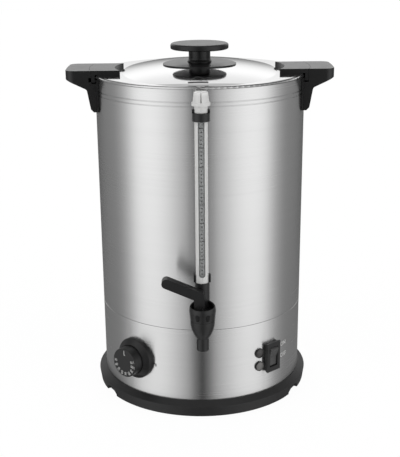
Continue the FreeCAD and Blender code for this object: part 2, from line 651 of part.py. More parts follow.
def make_base_plate():
    plate = new_body("base_plate")
    slope = d.plate_rise
    raised = d.plate_bottom + d.plate_rise
    edge = d.ring_inner_radius - d.fit_gap
    turn(plate, [
        at(0, raised),
        at(d.plate_rise_radius, raised),
        at(d.plate_rise_radius + slope, d.plate_bottom),
        at(edge, d.plate_bottom),
        at(edge, plate_top),
        at(d.plate_rise_radius + slope + d.plate_thickness / 2, plate_top),
        at(d.plate_rise_radius + d.plate_thickness / 2, raised + d.plate_thickness),
        at(0, raised + d.plate_thickness),
    ])
    holes = [circle(x, y, d.base_screw_radius + d.slip_gap) for x, y in around(d.base_screw_circle, 4)]
    holes.append(circle(0, 0, d.rod_radius + d.slip_gap))
    cut(plate, "XY_Plane", holes, 0, raised + d.plate_thickness * 2)


def make_feet_and_screws():
    feet = new_body("rubber_feet")
    pads = [circle(x, y, d.foot_radius) for x, y in around(d.foot_circle, 4, first=45)]
    pad(feet, "XY_Plane", pads, 0, d.plate_bottom)
    screws = new_body("base_screws")
    spots = around(d.base_screw_circle, 4)
    head_bottom = d.plate_bottom - d.base_screw_head_height
    pad(screws, "XY_Plane", [circle(x, y, d.base_screw_head) for x, y in spots],
        head_bottom, d.plate_bottom)
    pad(screws, "XY_Plane", [circle(x, y, d.base_screw_radius) for x, y in spots],
        head_bottom + d.base_screw_head_height / 2, plate_top + d.base_screw_length - d.slip_gap)


def make_tie_rod():
    rod = new_body("tie_rod")
    nut_bottom = d.plate_bottom + d.plate_rise - d.rod_nut_height
    pad(rod, "XY_Plane", [circle(0, 0, d.rod_radius)], nut_bottom, d.floor_height)
    nut = new_body("tie_nut")
    pad(nut, "XY_Plane", [hexagon(0, 0, d.rod_nut_flats), circle(0, 0, d.rod_radius + d.slip_gap)],
        nut_bottom, d.plate_bottom + d.plate_rise)


# Tank and skirt

def make_tank():
    tank = new_body("tank")
    inside = d.body_radius - d.tank_wall
    half = d.groove_width / 2
    groove = (half * half + d.groove_depth * d.groove_depth) / (d.groove_depth * 2)
    inner_groove = groove + d.tank_wall
    inner_half = root(inner_groove * d.groove_depth * 2 - d.groove_depth * d.groove_depth)
    bead = d.bead_radius
    outline = [
        at(0, d.floor_height),
        at(spigot_radius - d.tank_wall, d.floor_height),
        at(spigot_radius - d.tank_wall, d.spigot_bottom),
        at(spigot_radius, d.spigot_bottom),
        at(spigot_radius, d.skirt_top + d.seam_gap),
        at(d.body_radius, d.skirt_top + d.seam_gap, 0.4),
    ]
    for height in (d.lower_groove, d.upper_groove):
        outline.append(at(d.body_radius, height - half))
        outline.append(arc(d.body_radius, height + half, groove, left=False))
    outline += [
        at(d.body_radius, d.rim_height - bead),
        arc(d.body_radius + bead, d.rim_height, bead),
        arc(d.body_radius, d.rim_height + bead, bead),
        arc(inside, d.rim_height - root(bead * bead - d.tank_wall * d.tank_wall), bead),
    ]
    for height in (d.upper_groove, d.lower_groove):
        outline.append(at(inside, height + inner_half))
        outline.append(arc(inside, height - inner_half, inner_groove))
    outline += [
        at(inside, d.floor_height + d.tank_wall, d.floor_corner),
        at(0, d.floor_height + d.tank_wall),
    ]
    turn(tank, outline)
    outside = d.body_radius + d.bead_radius * 2
    cut(tank, "XZ_Plane", [circle(0, d.shank_height, d.shank_radius + d.slip_gap)],
        d.shank_end, outside)
    cut(tank, "XZ_Plane", [circle(0, gauge_screw_height, d.gauge_screw_radius + d.slip_gap)],
        d.shank_end, outside)
    holes = [circle(side * d.handle_screw_offset, d.handle_screw_height, d.handle_screw_radius + d.slip_gap)
             for side in (-1, 1)]
    cut(tank, "YZ_Plane", holes, d.shank_end, outside)
    cut(tank, "YZ_Plane", holes, -outside, -d.shank_end)


def make_skirt():
    skirt = new_body("skirt")
    turn(skirt, [
        at(skirt_inside, d.ring_ledge),
        at(d.body_radius, d.ring_ledge),
        at(d.body_radius, d.skirt_top, 0.7),
        at(spigot_radius + d.slip_gap, d.skirt_top),
        at(spigot_radius + d.slip_gap, d.skirt_top - d.sheet),
        at(skirt_inside, d.skirt_top - d.sheet),
    ])
    inside = d.thermostat_front
    outside = d.body_radius + 2
    cut(skirt, "XZ_Plane", [circle(0, d.dial_height, d.bushing_radius + d.slip_gap)],
        inside, outside, d.dial_azimuth)
    lamps = [circle(0, height, d.lamp_barrel + d.slip_gap) for height in (d.lower_lamp, d.upper_lamp)]
    cut(skirt, "XZ_Plane", lamps, inside, outside, d.lamp_azimuth)
    half_width = d.switch_barrel_width / 2 + d.slip_gap
    half_tall = d.switch_barrel_tall / 2 + d.slip_gap
    window = box(-half_width, d.switch_height - half_tall, half_width, d.switch_height + half_tall)
    cut(skirt, "XZ_Plane", [window], inside - 2, outside, d.switch_azimuth)
    cut(skirt, "XZ_Plane", [circle(0, d.gland_height, d.gland_body + d.slip_gap)],
        inside, outside, 180)


# Heater and thermostat parts under the floor

def make_heater():
    plate = new_body("heater_plate")
    bottom = d.floor_height - d.heater_thickness
    pad(plate, "XY_Plane", [circle(0, 0, d.heater_radius), circle(0, 0, d.rod_radius + d.slip_gap)],
        bottom, d.floor_height)
    element = new_body("heating_element")
    centre = bottom - d.element_radius
    feature = element.newObject("PartDesign::Revolution", "Revolution")
    feature.Profile = new_sketch(element, "XZ_Plane", [circle(d.element_circle, centre, d.element_radius)])
    feature.ReferenceAxis = (feature.Profile[0], ["V_Axis"])
    bind(feature, "Angle", d.element_sweep)
    ends = [(d.element_circle, size(0)),
            (d.element_circle * cosine(d.element_sweep), d.element_circle * sine(d.element_sweep))]
    pad(element, "XY_Plane", [circle(x, y, d.element_pin_radius) for x, y in ends],
        centre - d.element_radius - d.element_pin_length, centre)
    cutout = new_body("thermal_cutout")
    pad(cutout, "XY_Plane", [circle(0, d.cutout_offset, d.cutout_radius)],
        bottom - d.cutout_height, bottom)


def make_thermostat():
    housing = new_body("thermostat_body")
    half_width = d.thermostat_width / 2
    half_tall = d.thermostat_tall / 2
    case = box(-half_width, d.dial_height - half_tall, half_width, d.dial_height + half_tall)
    pad(housing, "XZ_Plane", [case], d.thermostat_back, d.thermostat_front)
    pad(housing, "XZ_Plane", [circle(0, d.dial_height, d.bushing_radius)],
        d.thermostat_front, d.body_radius - d.sheet / 2)
    cut(housing, "XZ_Plane", [circle(0, d.dial_height, d.shaft_radius + d.fit_gap)],
        shaft_back - d.fit_gap, d.body_radius + 1)
    place(housing, azimuth=d.dial_azimuth)

    tube = new_body("thermostat_capillary")
    bulb_height = d.floor_height - d.bulb_radius - d.slip_gap / 2
    bulb_outer = d.thermostat_back
    bulb_inner = d.heater_radius + d.fit_gap
    riser = bulb_outer + d.capillary_bend
    case_top = d.dial_height + half_tall
    pad(tube, "XZ_Plane", [circle(0, bulb_height, d.bulb_radius)], bulb_inner, bulb_outer)
    spine = tube.newObject("Sketcher::SketchObject", "Spine")
    spine.AttachmentSupport = [(origin_feature(tube, "YZ_Plane"), "")]
    spine.MapMode = "FlatFace"
    start = at(-riser, case_top)
    middle = at(-riser, bulb_height - d.capillary_bend)
    end = at(-bulb_outer, bulb_height)
    points = [vector(corner.x.value, corner.y.value) for corner in (start, middle, end)]
    bend = arc_between(points[1], points[2], d.capillary_bend.value, False)[0]
    spine.addGeometry([Part.LineSegment(points[0], points[1]), bend], False)
    spine.addConstraint(Sketcher.Constraint("Coincident", 0, 2, 1, 2))
    fix_point(spine, 0, 1, start)
    fix_point(spine, 0, 2, middle)
    fix_point(spine, 1, 1, end)
    fix(spine, ("Radius", 1), d.capillary_bend)
    pipe = tube.newObject("PartDesign::AdditivePipe", "Pipe")
    pipe.Profile = new_sketch(tube, "XY_Plane", [circle(0, -riser, d.capillary_radius)], (0, 0, case_top))
    pipe.Spine = (spine, ["Edge1", "Edge2"])
    place(tube, azimuth=d.dial_azimuth)


# Dial: bezel, shaft, knob

dial_floor = d.body_radius + d.bezel_floor
shaft_back = d.thermostat_back + 8


def make_dial():
    bezel = new_body("dial_bezel")
    well = d.knob_radius + d.fit_gap * 2
    back = d.thermostat_front
    edge = d.body_radius + d.bezel_edge
    face = d.body_radius + d.bezel_face
    bore = d.shaft_radius + d.fit_gap
    turn(bezel, [
        at(-back, bore),
        at(-dial_floor, bore),
        at(-dial_floor, well),
        at(-face, well),
        at(-face, well + d.bezel_lip, 0.4),
        at(-edge, d.bezel_radius - 0.4, 0.6),
        at(-edge + 0.8, d.bezel_radius),
        at(-back, d.bezel_radius),
    ], height=d.dial_height)
    cut(bezel, "XY_Plane", [circle(0, 0, d.body_radius)], 0, d.skirt_top)
    place(bezel, azimuth=d.dial_azimuth)

    shaft = new_body("dial_shaft")
    tip = d.body_radius + d.shaft_end
    pad(shaft, "XZ_Plane", [circle(0, d.dial_height, d.shaft_radius)], shaft_back, tip)
    place(shaft, azimuth=d.dial_azimuth)

    knob = new_body("dial_knob")
    knob_back = dial_floor + d.fit_gap
    knob_face = d.body_radius + d.knob_face
    turn(knob, [
        at(-knob_back, 0),
        at(-knob_back, d.knob_radius),
        at(-knob_face, d.knob_radius, d.knob_edge),
        at(-knob_face, 0),
    ], height=d.dial_height)
    cut(knob, "XZ_Plane", [circle(0, d.dial_height, d.shaft_radius)], knob_back - 1, tip)
    place(knob, azimuth=d.dial_azimuth)


# Lamps

def make_lamps():
    seat = d.body_radius + d.lamp_seat
    inner = d.lamp_radius - d.lamp_ring
    heights = (d.lower_lamp, d.upper_lamp)
    holders = new_body("lamp_bodies")
    for height in heights:
        turn(holders, [
            at(-d.thermostat_front, inner),
            at(-(d.body_radius + d.lamp_front), inner),
            at(-(d.body_radius + d.lamp_front), d.lamp_radius, 0.3),
            at(-d.thermostat_front, d.lamp_radius),
        ], height=height)
    cut(holders, "XY_Plane", [circle(0, 0, d.body_radius)], 0, d.skirt_top)
    for height in heights:
        pad(holders, "XZ_Plane", [circle(0, height, d.lamp_barrel)], d.lamp_back, d.body_radius)
    sills = [circle(0, height, inner + d.slip_gap) for height in heights]
    pad(holders, "XZ_Plane", sills, d.body_radius, seat)
    place(holders, azimuth=d.lamp_azimuth)
    for label, height in (("heat_lamp_lens", d.upper_lamp), ("power_lamp_lens", d.lower_lamp)):
        lens = new_body(label)
        radius = inner - d.slip_gap
        edge = d.body_radius + d.lamp_front - d.slip_gap
        crown = d.body_radius + d.lamp_crown
        rise = crown - edge
        turn(lens, [
            at(-seat, 0),
            at(-seat, radius),
            at(-edge, radius),
            arc(-crown, 0, (radius * radius + rise * rise) / (rise * 2)),
        ], height=height)
        place(lens, azimuth=d.lamp_azimuth)


# Rocker switch

def make_switch():
    frame = new_body("switch_body")
    front = d.body_radius + d.switch_front
    half_width = d.switch_width / 2
    half_tall = d.switch_tall / 2
    outer = box(-half_width, d.switch_height - half_tall, half_width, d.switch_height + half_tall)
    pad(frame, "XZ_Plane", [outer], d.body_radius - d.sheet * 2, front, taper=d.switch_bevel)
    cut(frame, "XY_Plane", [circle(0, 0, d.body_radius)], 0, d.skirt_top)
    barrel_width = d.switch_barrel_width / 2
    barrel_tall = d.switch_barrel_tall / 2
    barrel = box(-barrel_width, d.switch_height - barrel_tall, barrel_width, d.switch_height + barrel_tall)
    pad(frame, "XZ_Plane", [barrel], d.switch_back, d.body_radius + d.sheet)
    well_tall = d.rocker_end + d.fit_gap
    well_width = d.rocker_width / 2 + d.fit_gap
    well = box(-well_width, d.switch_height - well_tall, well_width, d.switch_height + well_tall)
    cut(frame, "XZ_Plane", [well], d.rocker_floor, front + 1)
    pin_reach = d.rocker_width / 2 + d.rocker_pin_length
    cut(frame, "YZ_Plane", [circle(-d.rocker_pivot, d.switch_height, d.rocker_pin + d.slip_gap)],
        -(pin_reach + d.slip_gap), pin_reach + d.slip_gap)
    place(frame, azimuth=d.switch_azimuth)

    rocker = new_body("switch_rocker")
    lean_x = cosine(d.rocker_tilt)
    lean_y = sine(d.rocker_tilt)

    def tilted(forward, up, rounding=None, radius=None):
        """A corner of the rocker, given from its pivot before it is tilted."""
        x = -d.rocker_pivot - forward * lean_x - up * lean_y
        y = d.switch_height - forward * lean_y + up * lean_x
        return arc(x, y, radius, left=False) if radius else at(x, y, rounding)

    front_up = root(d.rocker_end * d.rocker_end - d.rocker_tip * d.rocker_tip)
    back_up = root(d.rocker_end * d.rocker_end - d.rocker_tail * d.rocker_tail)
    side = [
        tilted(d.rocker_waist, size(0), rounding=6.0),
        tilted(d.rocker_tip, front_up),
        tilted(-d.rocker_tail, back_up, radius=d.rocker_end),
        tilted(-d.rocker_tail, -back_up),
        tilted(d.rocker_tip, -front_up, radius=d.rocker_end),
    ]
    pad(rocker, "YZ_Plane", [side], -d.rocker_width / 2, d.rocker_width / 2)
    pad(rocker, "YZ_Plane", [circle(-d.rocker_pivot, d.switch_height, d.rocker_pin)],
        -pin_reach, pin_reach)
    place(rocker, azimuth=d.switch_azimuth)


# Cord gland and terminals at the back

def make_mains_inlet():
    gland = new_body("cord_gland")
    outer = d.body_radius + d.gland_front
    inner = skirt_inside - d.gland_depth
    turn(gland, [
        at(-inner, d.gland_bore),
        at(-outer, d.gland_bore),
        at(-outer, d.gland_body - 0.8),
        at(-(d.body_radius + 2.4), d.gland_body),
        at(-(d.body_radius + 2.4), d.gland_flange, 0.6),
        at(-(d.body_radius - d.sheet / 2), d.gland_flange),
        at(-(d.body_radius - d.sheet / 2), d.gland_body),
        at(-inner, d.gland_body),
    ], height=d.gland_height)
    wall = [circle(0, 0, d.body_radius), circle(0, 0, skirt_inside)]
    cut(gland, "XY_Plane", wall, 0, d.skirt_top)
    neck = [circle(0, d.gland_height, d.gland_body), circle(0, d.gland_height, d.gland_bore)]
    pad(gland, "XZ_Plane", neck, inner, d.body_radius + 1)
    place(gland, azimuth=180)

    block = new_body("terminal_block")
    half = d.terminal_width / 2
    low = d.terminal_offset - d.terminal_depth / 2
    high = d.terminal_offset + d.terminal_depth / 2
    pad(block, "XY_Plane", [box(-half, low, half, high)], plate_top, plate_top + d.terminal_tall)
    pitch = d.terminal_width / 3
    wells = [circle(pitch * index, d.terminal_offset, d.terminal_well) for index in (-1, 0, 1)]
    cut(block, "XY_Plane", wells, plate_top + d.terminal_tall / 2, plate_top + d.terminal_tall + 1)


# Handles

def make_handle(label, azimuth):
    """The handle is drawn on the right; half a turn about +Z gives the left one."""
    handle = new_body(label)
    inner = d.body_radius * 0.9
    bow = d.handle_reach - d.handle_corner_reach
    bow_radius = d.handle_half * d.handle_half / (bow * 4)
    plan = [
        at(inner, -d.handle_half),
        at(d.handle_corner_reach, -d.handle_half, d.handle_corner),
        at(d.handle_reach, 0, bow_radius),
        at(d.handle_corner_reach, d.handle_half, d.handle_corner),
        at(inner, d.handle_half),
    ]
    pad(handle, "XY_Plane", [plan], d.handle_bottom, d.handle_top)
    slope = (d.handle_end - d.knee_height) / (d.handle_reach - d.knee_reach)
    beyond = d.handle_reach + 10
    hand_room = [
        at(beyond, d.handle_end + slope * 10),
        at(d.knee_reach, d.knee_height, d.knee_rounding),
        at(d.leg_reach, d.leg_height, d.leg_rounding),
        at(d.body_radius, d.handle_bottom),
        at(inner, d.handle_bottom - 10),
        at(beyond, d.handle_bottom - 10),
    ]
    margin = d.handle_half + 1
    cut(handle, "XZ_Plane", [hand_room], -margin, margin)
    channel = box(0, d.channel_floor, d.channel_radius, d.handle_top + 1)
    turn(handle, channel, kind="Groove")
    slot = box(d.channel_radius - 1, d.bayonet_bottom, d.bayonet_radius, d.bayonet_top)
    turn(handle, slot, kind="Groove", sweep=60)
    saddle = box(d.body_radius - 1, d.saddle_bottom, d.body_radius + d.saddle_thickness, d.saddle_top)
    spread = arcsine(d.saddle_half / d.body_radius)
    turn(handle, saddle, sweep=spread * 2, both_ways=True)
    cut(handle, "XY_Plane", [circle(0, 0, d.body_radius)], d.handle_bottom - 10, d.handle_top + 1)
    holes = [circle(side * d.handle_screw_offset, d.handle_screw_height, d.handle_screw_radius + d.slip_gap)
             for side in (-1, 1)]
    cut(handle, "YZ_Plane", holes, inner, handle_screw_tip + d.slip_gap)
    place(handle, azimuth=azimuth)


tank_inside_at_screw = root((d.body_radius - d.tank_wall) * (d.body_radius - d.tank_wall)
                            - d.handle_screw_offset * d.handle_screw_offset)
handle_screw_tip = tank_inside_at_screw + d.handle_screw_length


def make_handle_screws():
    screws = new_body("handle_screws")
    spots = [(side * d.handle_screw_offset, d.handle_screw_height) for side in (-1, 1)]
    heads = [circle(y, z, d.handle_screw_head) for y, z in spots]
    shanks = [circle(y, z, d.handle_screw_radius) for y, z in spots]
    inner = tank_inside_at_screw - d.handle_screw_head_height
    inside = d.body_radius - d.tank_wall
    pad(screws, "YZ_Plane", heads, inner, inside)
    pad(screws, "YZ_Plane", heads, -inside, -inner)
    wall = [circle(0, 0, d.body_radius + d.handle_screw_head), circle(0, 0, inside)]
    cut(screws, "XY_Plane", wall, d.handle_screw_height - d.handle_screw_head * 2,
        d.handle_screw_height + d.handle_screw_head * 2)
    middle = inner + d.handle_screw_head_height / 2
    pad(screws, "YZ_Plane", shanks, middle, handle_screw_tip)
    pad(screws, "YZ_Plane", shanks, -handle_screw_tip, -middle)


# Lid: pan, lugs, knob

lid_seat = d.rim_height + d.bead_radius + d.lid_gap
lid_top = lid_seat + d.sheet


def make_cap(label, drop):
    """A block with the dome's surface on top, lowered by a given distance."""
    cap = new_body(label, is_node=False)
    half = d.lid_flange + 5
    top = d.dome_top - drop
    across = d.dome_side_radius - drop
    end = top - across + root(across * across - half * half)
    low = d.lid_lip_bottom - 10
    outline = [at(-half, low), at(half, low), at(half, end), arc(-half, end, across)]
    sketch = new_sketch(cap, "XZ_Plane", [outline])
    axis_height = d.dome_top - d.dome_front_radius
    line = Part.LineSegment(vector(-half.value, axis_height.value), vector(half.value, axis_height.value))
    axis = sketch.addGeometry(line, True)
    fix_point(sketch, axis, 1, at(-half, axis_height))
    fix_point(sketch, axis, 2, at(half, axis_height))
    feature = cap.newObject("PartDesign::Revolution", "Revolution")
    feature.Profile = sketch
    feature.ReferenceAxis = (sketch, ["Axis0"])
    feature.Midplane = True
    bind(feature, "Angle", arcsine(half / d.dome_front_radius) * 2.2)
    return cap


def make_crown(label, inset, bottom):
    """A turned blank with the dome's shoulder, inset by a given distance."""
    crown = new_body(label, is_node=False)
    high = d.dome_top + 10
    turn(crown, [
        at(0, bottom),
        at(d.crown_foot - inset, bottom),
        at(d.crown_foot - inset, lid_top - inset),
        at(d.crown_radius - inset, d.crown_height - inset),
        at(d.crown_radius - inset, high),
        at(0, high),
    ])
    return crown


def make_disc(label, radius, low, high):
    disc = new_body(label, is_node=False)
    pad(disc, "XY_Plane", [circle(0, 0, radius)], low, high)
    return disc


def make_lid_pan():
    outer_cap = make_cap("dome_outside", size(0))
    outer_dome = combine("Common", "crown_outside",
                         [outer_cap, make_crown("blank_outside", size(0), lid_seat)])
    flange = make_disc("lid_flange", d.lid_flange, lid_seat, lid_top)
    lip = make_disc("lid_lip", d.lid_lip, d.lid_lip_bottom, lid_top)
    outside = combine("MultiFuse", "lid_outside", [outer_dome, flange, lip])
    inner_dome = combine("Common", "crown_inside",
                         [make_cap("dome_inside", d.sheet), make_crown("blank_inside", d.sheet, lid_seat - 1)])
    hollow = make_disc("lid_hollow", d.lid_lip - d.sheet, d.lid_lip_bottom - 1, lid_seat)
    inside = combine("MultiFuse", "lid_inside", [inner_dome, hollow])
    pan = combine("Cut", "lid_shell", [outside, inside])
    holes = new_body("lid_holes", is_node=False)
    drills = [circle(side * d.lug_screw_reach, end * d.lug_screw_offset, d.lug_screw_radius + d.slip_gap)
              for side in (-1, 1) for end in (-1, 1)]
    drills.append(circle(0, 0, d.grip_screw_radius + d.slip_gap))
    pad(holes, "XY_Plane", drills, lid_seat - 2, d.dome_top + 5)
    combine("Cut", "lid_pan", [pan, holes], is_node=True)

    plate_blank = make_disc("plate_blank", d.grip_plate_radius, lid_top, d.dome_top + 5)
    plate_skin = combine("Common", "plate_skin", [make_cap("dome_plate", -d.grip_plate), plate_blank])
    under = combine("Cut", "plate_on_dome", [plate_skin, make_cap("dome_under_plate", size(0))])
    bore = make_disc("plate_bore", d.grip_screw_radius + d.slip_gap, lid_seat, d.dome_top + 10)
    combine("Cut", "lid_knob_plate", [under, bore], is_node=True)


def make_lug(label, azimuth):
    """The lug is drawn on the right; half a turn about +Z gives the left one."""
    lug = new_body(label)
    half = d.lug_half
    depth = d.lug_middle - d.lug_corner
    end_radius = (half * half + depth * depth) / (depth * 2)
    outer_x = root(d.lug_outer * d.lug_outer - half * half)
    inner_x = root(d.lug_leg_inner * d.lug_leg_inner - half * half)
    plan = [
        arc(d.lug_corner, -half, end_radius, left=False),
        at(outer_x, -half),
        arc(outer_x, half, d.lug_outer),
        at(d.lug_corner, half),
    ]
    leg = [
        arc(inner_x, -half, d.lug_leg_inner, left=False),
        at(outer_x, -half),
        arc(outer_x, half, d.lug_outer),
        at(inner_x, half),
    ]
    pad(lug, "XY_Plane", [plan], lid_top, d.handle_top)
    pad(lug, "XY_Plane", [leg], d.lug_bottom, lid_top)
    holes = [circle(d.lug_screw_reach, side * d.lug_screw_offset, d.lug_screw_radius + d.slip_gap)
             for side in (-1, 1)]
    cut(lug, "XY_Plane", holes, lid_top - 1, lid_top + d.lug_screw_length + d.slip_gap)
    place(lug, azimuth=azimuth)


def make_lid_fasteners():
    screws = new_body("lid_lug_screws")
    spots = [(side * d.lug_screw_reach, end * d.lug_screw_offset) for side in (-1, 1) for end in (-1, 1)]
    head_bottom = lid_seat - d.lug_screw_head_height
    pad(screws, "XY_Plane", [circle(x, y, d.lug_screw_head) for x, y in spots], head_bottom, lid_seat)
    pad(screws, "XY_Plane", [circle(x, y, d.lug_screw_radius) for x, y in spots],
        head_bottom + d.lug_screw_head_height / 2, lid_top + d.lug_screw_length)
    screw = new_body("lid_knob_screw")
    washer_top = d.dome_top - d.sheet - d.slip_gap
    washer_bottom = washer_top - d.grip_washer
    pad(screw, "XY_Plane", [circle(0, 0, d.grip_washer_radius)], washer_bottom, washer_top)
    pad(screw, "XY_Plane", [circle(0, 0, d.grip_screw_head)],
        washer_bottom - d.grip_screw_head_height, washer_bottom)
    pad(screw, "XY_Plane", [circle(0, 0, d.grip_screw_radius)], washer_bottom,
        d.dome_top + d.grip_plate + d.grip_screw_length)


def make_knob():
    knob = new_body("lid_knob")
    bottom = d.dome_top + d.grip_plate
    flat = d.grip_radius - d.grip_rounding
    dish = (flat * flat + d.grip_dish * d.grip_dish) / (d.grip_dish * 2)
    turn(knob, [
        at(0, bottom),
        at(d.grip_flare, bottom),
        at(d.grip_flare, bottom + d.grip_foot),
        at(d.grip_stem, bottom + d.grip_flare_height, d.grip_flare_rounding),
        at(d.grip_stem, d.grip_bottom, d.grip_neck_rounding),
        at(d.grip_radius, d.grip_bottom, d.grip_lower_rounding),
        at(d.grip_radius, d.grip_top - d.grip_rounding),
        arc(flat, d.grip_top, d.grip_rounding),
        arc(0, d.grip_top - d.grip_dish, dish, left=False),
    ])
    cut(knob, "XY_Plane", [circle(0, 0, d.grip_screw_radius + d.slip_gap)],
        bottom - 1, bottom + d.grip_screw_length + d.slip_gap)


# Sight gauge

gauge_screw_height = (d.collar_bottom + d.collar_seat) / 2


def make_gauge():
    behind = d.gauge_distance
    glass = new_body("gauge_glass")
    pad(glass, "XY_Plane", [circle(0, 0, d.glass_radius), circle(0, 0, d.glass_radius - d.glass_wall)],
        d.glass_bottom, d.glass_top)

    shield = new_body("gauge_shield")
    pad(shield, "XY_Plane", [circle(0, 0, d.shield_radius), circle(0, 0, d.shield_radius - d.shield_wall)],
        d.column_top, d.collar_bottom)
    half = d.shield_slot / 2
    over = d.collar_bottom + 1
    slot = [
        at(-half, over),
        at(-half, d.shield_slot_bottom + half),
        arc(0, d.shield_slot_bottom, half),
        arc(half, d.shield_slot_bottom + half, half),
        at(half, over),
    ]
    cut(shield, "XZ_Plane", [slot], 0, d.shield_radius + 1)

    seal = new_body("gauge_seal")
    pad(seal, "XY_Plane", [circle(0, 0, d.seal_radius - d.slip_gap), circle(0, 0, d.glass_radius + d.slip_gap)],
        d.seal_bottom, d.column_top - d.slip_gap)

    collar = new_body("gauge_collar")
    bore = circle(0, 0, d.glass_radius + d.slip_gap)
    pad(collar, "XY_Plane", [circle(0, 0, d.cradle_radius)], d.collar_bottom, d.collar_seat)
    pad(collar, "XY_Plane", [circle(0, 0, d.cradle_radius), circle(0, 0, d.cap_barrel + d.slip_gap)],
        d.collar_seat, d.collar_top)
    open_front = box(-d.cradle_radius - 1, -d.cradle_radius - 1, d.cradle_radius + 1, -2)
    cut(collar, "XY_Plane", [open_front], d.collar_seat, d.collar_top + 1)
    arm_low = gauge_screw_height - d.collar_arm_height / 2
    arm = box(-d.collar_arm / 2, arm_low, d.collar_arm / 2, arm_low + d.collar_arm_height)
    pad(collar, "XZ_Plane", [arm], -(behind - d.body_radius + 4), -d.glass_radius - 1)
    cut(collar, "XY_Plane", [circle(0, behind, d.body_radius)], d.collar_bottom - 1, d.collar_top + 1)
    cut(collar, "XY_Plane", [bore], d.collar_bottom - 1, d.collar_seat + 1)
    screw_end = d.body_radius + d.gauge_screw_length
    cut(collar, "XZ_Plane", [circle(0, gauge_screw_height, d.gauge_screw_radius + d.slip_gap)],
        d.body_radius - behind - 1, screw_end + d.slip_gap - behind)

    cap = new_body("gauge_cap")
    turn(cap, [
        at(d.glass_radius + d.slip_gap, d.collar_seat),
        at(d.cap_barrel, d.collar_seat, 0.8),
        at(d.cap_barrel, d.cap_flange_bottom),
        at(d.cap_flange, d.cap_flange_bottom, 0.4),
        at(d.cap_flange, d.cap_flange_top, 0.6),
        at(d.cap_foot, d.cap_flange_top),
        at(d.cap_tip, d.cap_top, 0.8),
        at(d.cap_nub, d.cap_valley),
        at(d.cap_nub, d.cap_nub_height, 0.8),
        at(0, d.cap_nub_height),
        at(0, d.cap_bore_top),
        at(d.glass_radius + d.slip_gap, d.cap_bore_top),
    ])
    wedge = [
        at(-d.cap_groove_width / 2, -d.cap_flange),
        at(d.cap_groove_width / 2, -d.cap_flange),
        at(0, -d.cap_groove_radius),
    ]
    groove = cut(cap, "XY_Plane", [wedge], d.cap_flange_top, d.cap_top + 1)
    pattern = cap.newObject("PartDesign::PolarPattern", "Grooves")
    pattern.Originals = [groove]
    pattern.Axis = (origin_feature(cap, "Z_Axis"), [""])
    pattern.Angle = 360
    pattern.Occurrences = 4
    cap.Tip = pattern
    for piece in (glass, shield, seal, collar, cap):
        place(piece, y=-behind)

    screw = new_body("gauge_screw")
    inside = d.body_radius - d.tank_wall - d.slip_gap
    middle = inside - d.gauge_screw_head_height / 2
    pad(screw, "XZ_Plane", [circle(0, gauge_screw_height, d.gauge_screw_head)],
        inside - d.gauge_screw_head_height, inside)
    pad(screw, "XZ_Plane", [circle(0, gauge_screw_height, d.gauge_screw_radius)], middle, screw_end)


# Tap

column_offset = d.tap_distance - d.gauge_distance
lift_reach = d.heel_reach - d.heel_rounding
heel_height = d.well_floor + d.fit_gap + d.heel_rounding
pin_rise = d.lever_pin_height - heel_height
pin_drift = lift_reach * (1 - cosine(d.lever_travel)) + pin_rise * sine(d.lever_travel)
stem_foot = d.seat_height + d.slip_gap * 2 + d.cup_floor
cup_top = d.seat_height + d.slip_gap * 2 + d.cup_height


